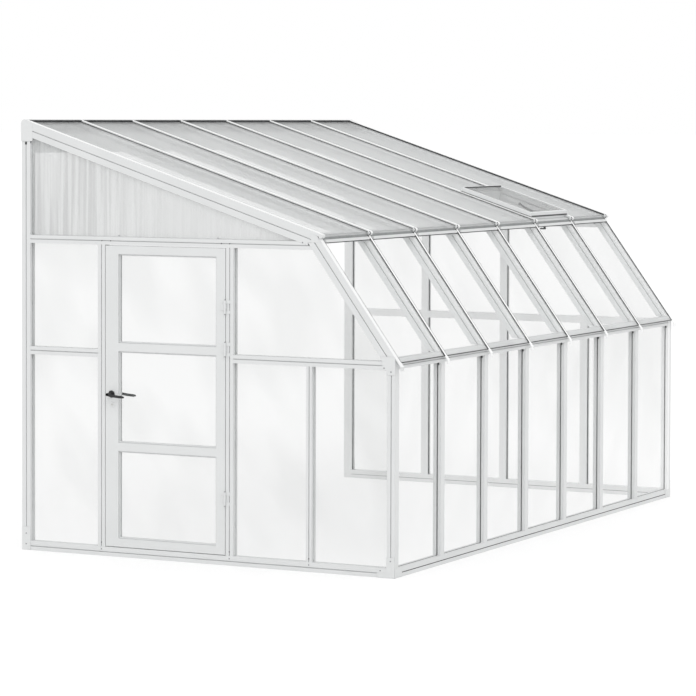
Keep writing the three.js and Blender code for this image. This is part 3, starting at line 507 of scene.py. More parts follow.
def offsets(radius, angle):
    """The two offsets of a point at an angle in degrees on a circle."""
    turn = math.radians(angle)
    return radius * math.cos(turn), radius * math.sin(turn)


def rectangle(u0, u1, v0, v1, radius=0.0, steps=3):
    if not radius:
        return [(u0, v0), (u1, v0), (u1, v1), (u0, v1)]
    corners = [(u1 - radius, v0 + radius, -90), (u1 - radius, v1 - radius, 0),
               (u0 + radius, v1 - radius, 90), (u0 + radius, v0 + radius, 180)]
    points = []
    for cu, cv, angle in corners:
        for k in range(steps + 1):
            du, dv = offsets(radius, angle + 90 * k / steps)
            points.append((cu + du, cv + dv))
    return points


def circle(cu, cv, radius, count):
    points = []
    for k in range(count):
        du, dv = offsets(radius, 360 * k / count)
        points.append((cu + du, cv + dv))
    return points


# Twin-wall sheets
def fluted_outline(u0, u1, v0, v1):
    count = max(1, round((u1 - u0) / FLUTE))
    step = (u1 - u0) / count
    top, bottom = [], []
    for i in range(count):
        u = u0 + i * step
        for offset, sink in ((0, 0), (step - LINE, 0), (step - LINE / 2, LINE_DEPTH)):
            top.append((u + offset, v1 - sink))
            bottom.append((u + offset, v0 + sink))
    top.append((u1, v1))
    bottom.append((u1, v0))
    return bottom + top[::-1]


def roof_panes():
    end = ROOF_REACH - 3.2 * MM
    for i in range(BAYS):
        start = VENT_SHEET_START if i == VENT_BAY else ROOF_START
        outline = fluted_outline(i * PITCH + WEB, (i + 1) * PITCH - WEB, -SHEET, 0)
        shape = prism(outline, on_slant(roof), start, end)
        make(f"roof_pane_{i}", *shape, ROOF_SHEET, slot="twin_wall")
    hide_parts("roof_glazing")


def gable_panel(name, x, node):
    """A triangle of twin-wall sheet under the gable rafter, its lines upright."""
    under = SLOT_DEPTH - RAFTER_DEPTH
    y0, y1, z0 = 630 * MM, WALL_POST - 0.5 * MM, PANEL_FOOT - SLOT_DEPTH
    half = 2.4 * MM
    count = round((y1 - y0) / FLUTE)
    columns = []
    for i in range(count):
        y = y0 + (y1 - y0) * i / count
        columns += [(y, 0), (y + FLUTE - LINE, 0), (y + FLUTE - LINE / 2, LINE_DEPTH)]
    columns.append((y1, 0))
    vertices, faces = [], []
    for y, sink in columns:
        y = min(y, y1)
        top = roof.height(y, under)
        for side in (-1, 1):
            vertices += [(x + side * (half - sink), y, z0), (x + side * (half - sink), y, top)]
    for i in range(len(columns) - 1):
        a, b = 4 * i, 4 * (i + 1)
        faces += [(a, a + 1, b + 1, b), (a + 2, b + 2, b + 3, a + 3),
                  (a, b, b + 2, a + 2), (a + 1, a + 3, b + 3, b + 1)]
    last = 4 * (len(columns) - 1)
    faces += [(0, 2, 3, 1), (last, last + 1, last + 3, last + 2)]
    piece = make(name, vertices, faces, GABLE_SHEET, slot="twin_wall")
    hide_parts(node)


# Rubber lines beside the cover strips, round the noses and along the ends of the panes
LIP_SIDE = 0.26 * MM
LIP_TOP = SLOPE_COVER + 0.45 * MM
SEAL_ROUNDING = 0.6 * MM


def line_beside(slant, x, side, wide, tall, start, end):
    inner = x + side * COVER
    u0, u1 = sorted((inner, inner + side * wide))
    rounding = 0.3 * min(wide, tall)
    return prism(rectangle(u0, u1, GAP, tall, rounding, 2), on_slant(slant), start, end)


def line_along(slant, x0, x1, start, end, low, high):
    """A strip across the slope, from x0 to x1."""
    outline = rectangle(low, high, start, end, SEAL_ROUNDING, 2)
    return prism(outline, lambda u, v, w: slant.point(w, v, u), x0, x1)


def cover_lips(x, side):
    """The rubber round one edge of a slope cover, from its tail to the nose: side and top lip."""
    edge = x + side * COVER
    start = -29 * MM
    head = slope.length + (NOSE.y - NOSE_RADIUS - EAVE_UNDER - 0.6 * MM) / slope.along.y
    outer = edge + side * LIP_SIDE
    lip = 3.0 * MM if side < 0 else 2.6 * MM
    walls = sorted((edge + side * 0.02 * MM, outer))
    tops = sorted((edge - side * lip, outer))
    return [prism(rectangle(*walls, 0.35 * MM, LIP_TOP), on_slant(slope), start, head),
            prism(rectangle(*tops, SLOPE_COVER + 0.03 * MM, LIP_TOP), on_slant(slope), start, head)]


def nose_rings():
    """The rubber on the left side of each nose, between the roof's line and the slope's."""
    first_angle, step, steps = 108, 21, 9
    inner_radius = NOSE_RADIUS - 4.5 * MM
    angles = [first_angle + step * k for k in range(steps)]
    for i in range(1, BAYS + 1):
        outline = []
        for radius, turns in ((NOSE_RADIUS, angles), (inner_radius, angles[::-1])):
            for angle in turns:
                dy, dz = offsets(radius, angle)
                outline.append((NOSE.x + dy, NOSE.y + dz))
        x = i * PITCH - COVER
        shape = prism(outline, on_x, x - LIP_SIDE, x - 0.02 * MM)
        make(f"nose_ring_{i}", *shape, GASKET, slot="black")


def rib_gaskets():
    wide, tall, end_tall = 4 * MM, 4 * MM, 9.6 * MM
    vent_start, top = VENT_SHEET_START + 1.5 * MM, ROOF_REACH - 9 * MM
    for i in range(BAYS + 1):
        x = i * PITCH
        parts = []
        for side in (-1, 1):
            if (i == 0 and side < 0) or (i == BAYS and side > 0):
                continue
            bay = i if side > 0 else i - 1
            start = vent_start if bay == VENT_BAY else ROOF_START
            rise = end_tall if i == BAYS else tall
            parts.append(line_beside(roof, x, side, wide, rise, start, top))
            parts.extend(cover_lips(x, side))
        make(f"rib_gasket_{i}", *merge(parts), GASKET, slot="black")


def bay_span(i, clearance):
    """The x at both ends of a bay between the cover strips, less a clearance at each."""
    return i * PITCH + COVER + clearance, (i + 1) * PITCH - COVER - clearance


def ridge_gaskets():
    start, end, high = ROOF_REACH - 8.5 * MM, ROOF_REACH - 1.2 * MM, 11.2 * MM
    for i in range(BAYS):
        shape = line_along(roof, *bay_span(i, 0.4 * MM), start, end, GAP, high)
        make(f"ridge_gasket_{i}", *shape, GASKET, slot="black")


def eave_seals():
    """Across each bay: a grey strip at the back of the gutter, painted shade in the gutter's
    hollow, a line over the foot of the roof sheet and the seal between the eave beam and the head
    of the slope pane."""
    gutter_shade_outline = rectangle(GUTTER_WALL - 2.4 * MM, GUTTER_WALL - GAP,
                              GUTTER_FLOOR + 0.1 * MM, GUTTER_FLOOR + 15.6 * MM)
    head = slope.length - 1.2 * MM
    for i in range(BAYS):
        x0, x1 = bay_span(i, 0.6 * MM)
        # Painted shade: a grey strip at the back of the gutter
        make(f"gutter_shade_strip_{i}", *prism(gutter_shade_outline, on_x, x0, x1), LINER, slot="black")
        seal = line_along(slope, x0, x1, head - 6 * MM, head, GAP, 3 * MM)
        make(f"slope_head_seal_{i}", *seal, GASKET, slot="black")
        if i != VENT_BAY:
            line = line_along(roof, *bay_span(i, 4.6 * MM), ROOF_START + 1 * MM,
                              ROOF_START + 4.4 * MM, GAP, 1.3 * MM)
            make(f"roof_foot_line_{i}", *line, LINER, slot="black")


def bar_wedges():
    """A dark wedge where each slope bar's groove meets the eave beam: painted shade in that corner.
    """
    wedge = [(516, 1881), (526, 1878), (536, 1889.6), (508, 1889.6)]
    outline = [(y * MM, z * MM) for y, z in wedge]
    # Painted shade: a dark wedge in the corner of groove and beam
    for i in range(1, BAYS + 1):
        x = i * PITCH - HALF
        make(f"bar_wedge_{i}", *prism(outline, on_x, x - 1.6 * MM, x - GAP), GASKET, slot="black")


def dressed_eave_beam():
    """The eave beam with its lip cut back beside each bar, so that the cover strip runs up to
    the nose."""
    under_sheet = -SHEET - 0.3 * MM
    left, right = 38 * MM, 20 * MM
    wall_top = roof.height(GUTTER_WALL, under_sheet)
    meet = slope.reach(wall_top + 3 * MM)
    back = [(EAVE_BACK, EAVE_UNDER), (EAVE_BACK, roof.height(EAVE_BACK, under_sheet))]
    full = [(EAVE_FACE, EAVE_UNDER), *back, (GUTTER_WALL, wall_top), (GUTTER_WALL, GUTTER_FLOOR),
            (EAVE_FACE, GUTTER_FLOOR)]
    cut = [(slope.reach(EAVE_UNDER), EAVE_UNDER), *back, (meet, roof.height(meet, under_sheet)),
           (GUTTER_WALL, slope.height(GUTTER_WALL, 0)), (GUTTER_WALL, GUTTER_FLOOR),
           (slope.reach(GUTTER_FLOOR), GUTTER_FLOOR)]
    parts = []
    for i in range(BAYS + 1):
        x = i * PITCH
        start = x - HALF if i == 0 else x - left
        end = x + HALF if i == BAYS else x + right
        parts.append(prism(cut, on_x, start, end))
        if i < BAYS:
            parts.append(prism(full, on_x, end, x + PITCH - left))
    beam = make("eave_beam_dressed", *merge(parts), RESIN)
    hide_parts("eave_beam")


def far_gaskets():
    """Dark lines at the front side of each upright of the far gable, on the inner face of its
    panes, and a dark line along the groove on the inner face of its base rail, painted shade in
    that groove."""
    knee_under, knee_top, eave_under, wide = 1180 * MM, 1228 * MM, 1848 * MM, 5 * MM
    x0, x1 = LENGTH - 8 * MM, LENGTH - 2.6 * MM
    for name, face, high in (("front", 605 * MM, knee_under), ("middle", 1218 * MM, eave_under),
                             ("rear", 1831 * MM, eave_under), ("wall", WALL_POST, eave_under)):
        outline = rectangle(x0, x1, face - wide, face - GAP)
        parts = [prism(outline, on_z, z0 + 0.1 * MM, z1 - 0.1 * MM)
                 for z0, z1 in ((BASE, knee_under), (knee_top, high)) if z1 > z0]
        make(f"far_gasket_{name}", *merge(parts), GASKET, slot="black")
    face, half = LENGTH - HALF - GAP, 1.3 * MM
    # Painted shade: a grey strip along the far base rail's groove
    strip = rectangle(face - 0.5 * MM, face, BASE_GROOVE - half, BASE_GROOVE + half)
    shape = prism(strip, on_y, 2 * HALF + 2 * MM, WALL_POST)
    make("far_base_shade_line", *shape, LINER, slot="black")


def wall_post_seals():
    """A black plug at the top of the near wall post's groove, painted shade under the bracket, and
    the short seal beside the post.
    """
    # Painted shade: a black plug where the groove ends under the bracket
    plug = rectangle(2463.5 * MM, 2476.5 * MM, 2437 * MM, 2451 * MM, 2 * MM)
    make("wall_post_shade_plug", *prism(plug, on_x, FACE_X - 1 * MM, FACE_X + 4 * MM), BLACK,
         slot="black")
    seal = rectangle(WALL_POST - 5.5 * MM, WALL_POST - 0.1 * MM, 2446 * MM, 2474 * MM)
    make("wall_post_seal", *prism(seal, on_x, FACE_X + 0.5 * MM, FACE_X + 5 * MM), GASKET,
         slot="black")


def slope_foot_shade_strips():
    """A dark strip over the foot of each slope pane, above the knee rail: painted shade under the
    pane's foot.
    """
    for i in range(BAYS):
        shape = line_along(slope, *bay_span(i, 4.2 * MM), -29.5 * MM, -24 * MM, GAP, 2.6 * MM)
        # Painted shade: a dark strip at the foot of the slope pane
        make(f"slope_foot_shade_strip_{i}", *shape, GASKET, slot="black")


def front_gaskets():
    """A dark line round the outer face of each front pane, with a small plug under the knee
    rail."""
    near, far, wide = 20.6 * MM, 22.4 * MM, 1.8 * MM
    for i in range(BAYS):
        x0 = i * PITCH + HALF
        x1 = (i + 1) * PITCH - HALF
        parts = [prism(rectangle(x0, x0 + wide, near, far), on_z, BASE, KNEE_UNDER),
                 prism(rectangle(x1 - wide, x1, near, far), on_z, BASE, KNEE_UNDER),
                 prism(rectangle(near, far, KNEE_UNDER - wide, KNEE_UNDER), on_x, x0, x1),
                 prism(rectangle(near, far, BASE, BASE + wide), on_x, x0, x1)]
        make(f"front_gasket_{i}", *merge(parts), GASKET, slot="black")
        plug = prism(rectangle(x1 - 5 * MM, x1, 14 * MM, 22.3 * MM, 1.5 * MM), on_z,
                     KNEE_UNDER - 16 * MM, KNEE_UNDER - 2.4 * MM)
        make(f"front_plug_{i}", *plug, BLACK, slot="black")


def base_groove_shade_strip():
    """The dark strip in the groove along the front base rail: painted shade in the groove."""
    half, corner = 2.3 * MM, 14 * MM
    groove = rectangle(0.5 * MM, 7.9 * MM, BASE_GROOVE - half, BASE_GROOVE + half)
    # Painted shade: a dark strip laid in the groove
    shape = prism(groove, on_x, HALF + corner, LENGTH - HALF)
    make("base_groove_shade_strip", *shape, GASKET, slot="black")


# Connectors: plain plates over the joints of the gable bars
PLATE = 2.2 * MM
BRACKET = 8 * MM
BRACKET_FRONT = WALL_POST - 16 * MM
PROUD = 0.6 * MM


def gable_plate(name, outline, far):
    start, end = (FAR_X, FAR_X + PLATE) if far else (FACE_X - PLATE, FACE_X)
    make(name, *prism(outline, on_x, start, end), RESIN, bevel=0.8 * MM)


def ridge_bracket_outline():
    """Its top follows the rafter's cover to the cap, and its corner at the wall is rounded."""
    low, back, radius, steps = 2457 * MM, DEPTH + 0.4 * MM, 24 * MM, 6
    top = RIDGE_TOP + PROUD
    points = [(BRACKET_FRONT, low), (back, low)]
    for k in range(steps + 1):
        dy, dz = offsets(radius, 90 * k / steps)
        points.append((back - radius + dy, top - radius + dz))
    points.append((BRACKET_FRONT, roof.height(BRACKET_FRONT, COVER_RISE + PROUD)))
    return points


def ridge_bracket(name, far):
    """A bracket that thickens over its first 30 mm, from the rafter towards the wall."""
    x, side = (FAR_X, 1) if far else (FACE_X, -1)
    ease, least = 30 * MM, 0.3 * MM
    vertices, faces = prism(ridge_bracket_outline(), on_x, 0, 1)
    for vertex in vertices:
        thick = least + BRACKET * min(1, (vertex.y - BRACKET_FRONT) / ease)
        vertex.x = x + side * thick * vertex.x
    make(name, vertices, faces, RESIN, bevel=0.5 * MM)


def connectors():
    front, post = -0.5 * MM, 52 * MM
    reach, tall = 112 * MM, 118 * MM
    base_corner = [(front, 0), (reach, 0), (reach, BASE), (post, BASE), (post, tall),
                   (front, tall)]
    wall_corner = rectangle(WALL_POST - 1 * MM, DEPTH, 0, 140 * MM, 3 * MM)
    knee = [(-0.5, 1150), (52, 1150), (52, 1178), (84, 1178), (84, 1230), (92, 1240), (92, 1256),
            (4, 1256), (-0.5, 1243)]
    knee_corner = [(y * MM, z * MM) for y, z in knee]
    for end, far in (("near", False), ("far", True)):
        gable_plate(f"base_corner_front_{end}", base_corner, far)
        gable_plate(f"base_corner_wall_{end}", wall_corner, far)
        gable_plate(f"knee_corner_{end}", knee_corner, far)
        ridge_bracket(f"ridge_corner_{end}", far)
    along = 66 * MM
    for i in (0, BAYS):
        side = -1 if i else 1
        x = i * PITCH
        start, end = sorted((x - side * HALF, x + side * along))
        shape = prism(rectangle(-PLATE, 0, 0, BASE, 0.8 * MM, 2), on_x, start, end)
        make(f"base_corner_face_{i}", *shape, RESIN)


# Screws: pan heads on the door gable, whose outer side looks along -X
SCREW_RADIUS = 3.6 * MM
SCREW_SIDES = 16
SCREW_PROFILE = [(1.0, 0.0), (1.0, 0.25), (0.86, 0.5), (0.55, 0.66)]
SCREW_TOP = 0.7


def screw(name, place):
    """A pan head; place is the middle of its seat."""
    axis = Vector((-1, 0, 0))
    side = axis.orthogonal().normalized()
    other = axis.cross(side)
    place = Vector(place)
    vertices, faces = [place.copy()], []
    for radius, rise in SCREW_PROFILE:
        seat = place + axis * (rise * SCREW_RADIUS)
        for k in range(SCREW_SIDES):
            du, dv = offsets(radius * SCREW_RADIUS, 360 * k / SCREW_SIDES)
            vertices.append(seat + side * du + other * dv)
    vertices.append(place + axis * (SCREW_TOP * SCREW_RADIUS))
    for k in range(SCREW_SIDES):
        n = (k + 1) % SCREW_SIDES
        faces.append((0, 1 + n, 1 + k))
        for ring in range(len(SCREW_PROFILE) - 1):
            a = 1 + ring * SCREW_SIDES
            faces.append((a + k, a + n, a + SCREW_SIDES + n, a + SCREW_SIDES + k))
        a = 1 + (len(SCREW_PROFILE) - 1) * SCREW_SIDES
        faces.append((a + k, a + n, len(vertices) - 1))
    make(name, vertices, faces, STEEL)


def screws():
    """The screws' places as (y, z) in millimetres; those in the plates sit on the plates' faces."""
    upper = [(1938, 1872), (1878, 1872), (1126, 1872), (1072, 1872), (1820, 1903), (1149, 1903),
             (594, 1889)]
    plated = [(2470, 2540), (2470, 2480), (2470, 100), (2470, 36), (26, 96), (90, 40), (26, 1170),
              (70, 1190)]
    lower = [(1941, 40), (1941, 80), (1071, 40), (1071, 80), (549, 40), (549, 76)]
    for i, (y, z) in enumerate(upper + plated + lower):
        lift = PLATE if (y, z) in plated else 0
        screw(f"gable_screw_{i}", (FACE_X - lift, y * MM, z * MM))


# Door furniture
LEAF_OUT = FACE_X
LEAF_IN = FACE_X + 40 * MM
LEVER_Y = 1870 * MM
LEVER_Z = 965 * MM
CYLINDER_Y = 1866 * MM
CYLINDER_Z = 903 * MM


def lathe(face, out, profile, y, z, steps=24):
    """A turned shape about an axis along X.

    The profile gives (distance out of the face, radius) in millimetres, from one end on the axis
    to the other.
    """
    vertices, faces, rings = [], [], []
    for away, radius in profile:
        x = face + out * away * MM
        if radius == 0:
            rings.append([len(vertices)])
            vertices.append(Vector((x, y, z)))
        else:
            rings.append(list(range(len(vertices), len(vertices) + steps)))
            for k in range(steps):
                dy, dz = offsets(radius * MM, 360 * k / steps)
                vertices.append(Vector((x, y + dy, z + dz)))
    for a, b in zip(rings, rings[1:]):
        for k in range(steps):
            n = (k + 1) % steps
            if len(a) == 1:
                faces.append((a[0], b[k], b[n]))
            elif len(b) == 1:
                faces.append((a[k], b[0], a[n]))
            else:
                faces.append((a[k], b[k], b[n], a[n]))
    return vertices, faces


def sweep(points, sections):
    """A bar with rounded corners through points in order.

    The sections give (half width, half height) at each point.
    """
    count, squareness = 12, 0.55
    vertices, faces = [], []
    for index, (point, (wide, high)) in enumerate(zip(points, sections)):
        before = points[max(index - 1, 0)]
        after = points[min(index + 1, len(points) - 1)]
        tangent = (after - before).normalized()
        side = Vector((1, 0, 0))
        side = (side - tangent * side.dot(tangent)).normalized()
        up = tangent.cross(side)
        for k in range(count):
            c, s = offsets(1, 360 * k / count)
            u = math.copysign(abs(c) ** squareness, c) * wide
            v = math.copysign(abs(s) ** squareness, s) * high
            vertices.append(point + side * u + up * v)
    rings = len(points)
    for ring in range(rings - 1):
        for k in range(count):
            n = (k + 1) % count
            a, b = ring * count, (ring + 1) * count
            faces.append((a + k, a + n, b + n, b + k))
    faces.append(tuple(range(count))[::-1])
    faces.append(tuple(range((rings - 1) * count, rings * count)))
    return vertices, faces


def lever(name, face, out):
    """A rose, a neck and a slightly bowed lever that points to the door's hinge side."""
    rose = [(0.35, 0), (0.35, 21), (4, 21.5), (6, 19.5), (6.4, 12), (6.4, 0)]
    neck = [(6, 0), (6, 9.5), (14, 7.6), (44, 7.6), (53, 8.6), (54, 7), (54, 0)]
    knob = [(-6, 0), (-6, 8), (-4.5, 9.6), (4.5, 9.6), (6, 8), (6, 0)]
    x = face + out * 48 * MM
    behind, run, drop, bow, steps = 7 * MM, 120 * MM, 12 * MM, 2.5 * MM, 9
    thick, high, thinner, end_share = 5.8 * MM, 8.6 * MM, 0.1, 0.55
    points, sections = [], []
    for k in range(steps):
        t = k / (steps - 1)
        sag = drop * t + bow * math.sin(math.pi * t)
        points.append(Vector((x, LEVER_Y + behind - run * t, LEVER_Z - sag)))
        share = (1 - thinner * t) * (end_share if k in (0, steps - 1) else 1.0)
        sections.append((thick * share, high * share))
    turned = [lathe(face, out, rose, LEVER_Y, LEVER_Z), lathe(face, out, neck, LEVER_Y, LEVER_Z),
              lathe(x, 1, knob, LEVER_Y, LEVER_Z)]
    shape = merge(turned + [sweep(points, sections)])
    return make(name, *shape, BLACK, body="handle", slot="black", smooth=50)


def door_furniture():
    outer = lever("lever_outer", LEAF_OUT, -1)
    lever("lever_inner", LEAF_IN, 1)
    rod, sunk = 5 * MM, 1 * MM
    square = rectangle(LEVER_Y - rod, LEVER_Y + rod, LEVER_Z - rod, LEVER_Z + rod)
    spindle = prism(square, on_x, LEAF_OUT - sunk, LEAF_IN + sunk)
    make("lever_spindle", *spindle, STEEL, body="handle", bevel=0.6 * MM)
    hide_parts("door_handle")
    plate = [(0, 0), (0, 16), (2.2, 15.5), (3, 13.5), (3, 0)]
    core = [(2.5, 0), (2.5, 8.6), (4.6, 8.2), (4.8, 0)]
    slit = rectangle(CYLINDER_Y - 0.7 * MM, CYLINDER_Y + 0.7 * MM,
                     CYLINDER_Z - 4.5 * MM, CYLINDER_Z + 4.5 * MM)
    for name, face, out in (("outer", LEAF_OUT, -1), ("inner", LEAF_IN, 1)):
        make(f"cylinder_rose_{name}", *lathe(face, out, plate, CYLINDER_Y, CYLINDER_Z), RESIN,
             body="door")
        make(f"cylinder_core_{name}", *lathe(face, out, core, CYLINDER_Y, CYLINDER_Z), LIGHT_STEEL,
             body="door")
        ends = sorted((face + out * 4.6 * MM, face + out * 5 * MM))
        make(f"cylinder_slit_{name}", *prism(slit, on_x, *ends), BLACK, body="door", slot="black")


def bead(y0, y1, z0, z1, x, size):
    """A mitred square-section frame round a light, in a plane across X."""
    ring = []
    for inset in (0, size):
        ring.append([(y0 + inset, z0 + inset), (y1 - inset, z0 + inset), (y1 - inset, z1 - inset),
                     (y0 + inset, z1 - inset)])
    vertices, faces = [], []
    for px in (x, x + size):
        for loop in ring:
            vertices += [Vector((px, y, z)) for y, z in loop]
    for k in range(4):
        n = (k + 1) % 4
        faces += [(k, n, 4 + n, 4 + k), (8 + k, 12 + k, 12 + n, 8 + n),
                  (k, 8 + k, 8 + n, n), (4 + k, 4 + n, 12 + n, 12 + k)]
    return vertices, faces


def door_beads():
    y0, y1 = 1160 * MM + GAP, 1824 * MM - GAP
    lights = [(110, 629), (679, 1220), (1270, 1794)]
    size, pane, half = 8 * MM, (LEAF_OUT + LEAF_IN) / 2, 2.6 * MM
    for i, (z0, z1) in enumerate(lights):
        for name, x in (("out", pane - half - size), ("in", pane + half)):
            shape = bead(y0, y1, z0 * MM + GAP, z1 * MM - GAP, x, size)
            make(f"door_bead_{name}_{i}", *shape, RESIN, body="door", bevel=1.5 * MM)


def hinge_pins():
    """The rounded black ends of the three hinge pins."""
    outline = circle(FACE_X - 8 * MM, 1098 * MM, 3.4 * MM, 16)
    half_hinge, tip = 40 * MM, 3.5 * MM
    for name, z in (("top", 1504 * MM), ("middle", 1258 * MM), ("bottom", 388 * MM)):
        for end, sign in (("low", -1), ("high", 1)):
            seat = z + sign * half_hinge
            shape = prism(outline, on_z, *sorted((seat, seat + sign * tip)))
            make(f"hinge_pin_{name}_{end}", *shape, BLACK, slot="black", bevel=0.6 * MM)


# Roof vent: along is counted up the roof from the eave and rise out of its sheets
VENT_START, VENT_END = 56 * MM, 592 * MM
VENT_UNDER, VENT_TOP = 10.4 * MM, 40.3 * MM
VENT_RIM, VENT_FOOT = 12 * MM, 20 * MM
VENT_X0 = VENT_BAY * PITCH + 2.5 * MM
VENT_X1 = (VENT_BAY + 1) * PITCH - 2.5 * MM
STAY_X = (VENT_BAY + 0.5) * PITCH + 57 * MM


def vent_frame(inner):
    """The sash: two rounded sides, a foot and a head, a skirt below and an ear for the stay."""
    place = on_slant(roof)
    parts = [prism(rectangle(a, b, VENT_UNDER, VENT_TOP, 3 * MM), place, VENT_START, VENT_END)
             for a, b in ((VENT_X0, VENT_X0 + VENT_RIM), (VENT_X1 - VENT_RIM, VENT_X1))]
    end_outline = rectangle(*inner, VENT_UNDER + 0.02 * MM, VENT_TOP - 0.02 * MM)
    for a, b in ((VENT_START, VENT_START + VENT_FOOT), (VENT_END - VENT_RIM, VENT_END)):
        parts.append(prism(end_outline, place, a, b))
    between = (VENT_BAY * PITCH + HALF + 0.4 * MM, (VENT_BAY + 1) * PITCH - HALF - 0.4 * MM)
    parts.append(prism(rectangle(*between, -7.6 * MM, VENT_UNDER + 1 * MM), place,
                       VENT_START + 4 * MM, VENT_START + 9 * MM))
    ear_x = STAY_X + 3.4 * MM
    parts.append(prism(rectangle(ear_x, ear_x + 5.8 * MM, 3 * MM, 31 * MM), place,
                       297 * MM, 319 * MM))
    return make("vent_sash_frame", *merge(parts), RESIN, body="vent", bevel=0.9 * MM)


def vent():
    place = on_slant(roof)
    lap = 0.5 * MM
    inner = (VENT_X0 + VENT_RIM - lap, VENT_X1 - VENT_RIM + lap)
    frame_piece = vent_frame(inner)
    panel_top = 37.2 * MM
    panel = prism(fluted_outline(*inner, 31.5 * MM, panel_top), place,
                  VENT_START + VENT_FOOT - lap, VENT_END - VENT_RIM + lap)
    make("vent_sash_panel", *panel, SASH_SHEET, body="vent", slot="twin_wall")
    head = VENT_END - VENT_RIM
    lines = [prism(rectangle(*inner, panel_top + GAP, 43 * MM), place, head - 7 * MM,
                   head - 0.1 * MM),
             prism(rectangle(VENT_X0 + 4 * MM, VENT_X1 - 4 * MM, VENT_UNDER, 20 * MM), place,
                   VENT_START - 1.4 * MM, VENT_START - GAP),
             prism(rectangle(VENT_X0 - 1 * MM, VENT_X0 - GAP, VENT_UNDER, 13.5 * MM), place,
                   VENT_START, VENT_END)]
    make("vent_sash_gasket", *merge(lines), GASKET, body="vent", slot="black")
    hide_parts("vent_sash")


def vent_hinges():
    """Three barrels behind the upper edge of the sash, clear of it when it is open."""
    inset, half = 60 * MM, 22 * MM
    y, z = roof.at(VENT_END + 5 * MM, 10.3 * MM)
    outline = circle(y, z + 3.4 * MM, 3.1 * MM, 16)
    barrels = [prism(outline, on_x, x - half, x + half)
               for x in (VENT_X0 + inset, (VENT_X0 + VENT_X1) / 2, VENT_X1 - inset)]
    make("vent_hinge_barrels", *merge(barrels), RESIN)


def stay_catch():
    """The white catch on the back of the eave beam: a plate with a peg for the stay."""
    x, y = STAY_X - 16 * MM, EAVE_BACK + 0.3 * MM
    wide, thick = 9 * MM, 3 * MM
    plate = rectangle(x - wide, x + wide, 1896 * MM, 1932 * MM, 2 * MM)
    catch = [prism(plate, on_y, y, y + thick),
             prism(circle(x, 1922 * MM, 3 * MM, 14), on_y, y + thick - 0.5 * MM, y + 13 * MM)]
    make("stay_catch", *merge(catch), RESIN)


roof_panes()
gable_panel("gable_panel_sheet_near", 0, "gable_panel_near")
gable_panel("gable_panel_sheet_far", LENGTH, "gable_panel_far")
rib_gaskets()
nose_rings()
dressed_eave_beam()
eave_seals()
bar_wedges()
far_gaskets()
wall_post_seals()
ridge_gaskets()
slope_foot_shade_strips()
front_gaskets()
base_groove_shade_strip()
connectors()
screws()
door_furniture()
door_beads()
hinge_pins()
vent()
vent_hinges()
stay_catch()


# Floor, world, lamp and camera
FLOOR_REACH = 400
FLOOR_GREY = 0.82
FLOOR_SEEN = 0.46
FLOOR_LIFT = 0.54


def seen_directly(tree):
    """1 where the camera sees the floor, directly or in glass and gloss, and 0 where it lights."""
    path = tree.nodes.new("ShaderNodeLightPath")
    first = calc(tree, "MAXIMUM", path.outputs["Is Camera Ray"],
                 path.outputs["Is Transmission Ray"])
    return calc(tree, "MAXIMUM", first, path.outputs["Is Glossy Ray"])


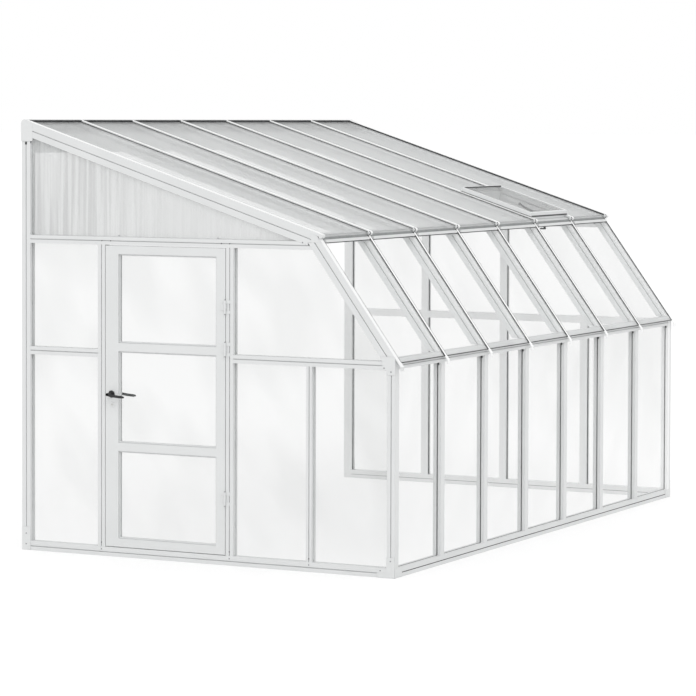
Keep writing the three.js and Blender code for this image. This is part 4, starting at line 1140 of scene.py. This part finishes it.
def floor():
    mesh = bpy.data.meshes.new("floor")
    corners = rectangle(-FLOOR_REACH, FLOOR_REACH, -FLOOR_REACH, FLOOR_REACH)
    mesh.from_pydata([(x, y, 0) for x, y in corners], [], [(0, 1, 2, 3)])
    piece = bpy.data.objects.new("floor", mesh)
    piece.location.z = -0.5 * MM
    bpy.context.collection.objects.link(piece)
    material, tree, shader = new_material("floor_paper")
    seen = seen_directly(tree)
    tint = blend(tree, seen, (FLOOR_GREY,) * 3, (FLOOR_SEEN,) * 3)
    tree.links.new(tint, shader.inputs["Base Color"])
    shader.inputs["Roughness"].default_value = 0.9
    shader.inputs["Specular IOR Level"].default_value = 0.1
    shader.inputs["Emission Color"].default_value = (1, 1, 1, 1)
    glow = calc(tree, "MULTIPLY", seen, FLOOR_LIFT)
    tree.links.new(glow, shader.inputs["Emission Strength"])
    mesh.materials.append(material)


def world():
    sky = bpy.data.worlds.new("studio")
    bpy.context.scene.world = sky
    sky.use_nodes = True
    backdrop = sky.node_tree.nodes["Background"]
    backdrop.inputs["Color"].default_value = (1, 1, 1, 1)
    backdrop.inputs["Strength"].default_value = 1.0


def sun(name, energy, toward, width):
    data = bpy.data.lights.new(name, "SUN")
    data.energy = energy
    data.angle = math.radians(width)
    piece = bpy.data.objects.new(name, data)
    piece.rotation_euler = Vector(toward).to_track_quat("Z", "Y").to_euler()
    bpy.context.collection.objects.link(piece)


# The photograph's camera: its place in metres, its turn in degrees, and its focal length and
# principal point in pixels of the picture
CAMERA_PLACE = (-15.5294, -7.6435, 2.6072)
CAMERA_TURN = (27.1502, -2.2251, 0.1698)
FOCAL = 3073.91
CENTRE = (347.13, 236.37)
PICTURE = 696.0


def camera():
    yaw, pitch, roll = (math.radians(angle) for angle in CAMERA_TURN)
    look = Vector((math.cos(pitch) * math.cos(yaw), math.cos(pitch) * math.sin(yaw),
                   math.sin(pitch)))
    level = look.cross(Vector((0, 0, 1))).normalized()
    above = level.cross(look)
    right = level * math.cos(roll) + above * math.sin(roll)
    up = above * math.cos(roll) - level * math.sin(roll)
    data = bpy.data.cameras.new("camera")
    data.sensor_width = 36.0
    data.lens = FOCAL / PICTURE * data.sensor_width
    data.shift_x = (PICTURE / 2 - CENTRE[0]) / PICTURE
    data.shift_y = (CENTRE[1] - PICTURE / 2) / PICTURE
    data.clip_end = 1000
    piece = bpy.data.objects.new("camera", data)
    turn = Matrix((right, up, -look)).transposed()
    piece.matrix_world = Matrix.Translation(Vector(CAMERA_PLACE) + ORIGIN) @ turn.to_4x4()
    bpy.context.collection.objects.link(piece)
    bpy.context.scene.camera = piece


floor()
world()
sun("key", 0.6, (-0.66, -0.42, 0.62), 35)
camera()
bpy.context.scene.view_settings.view_transform = "Standard"
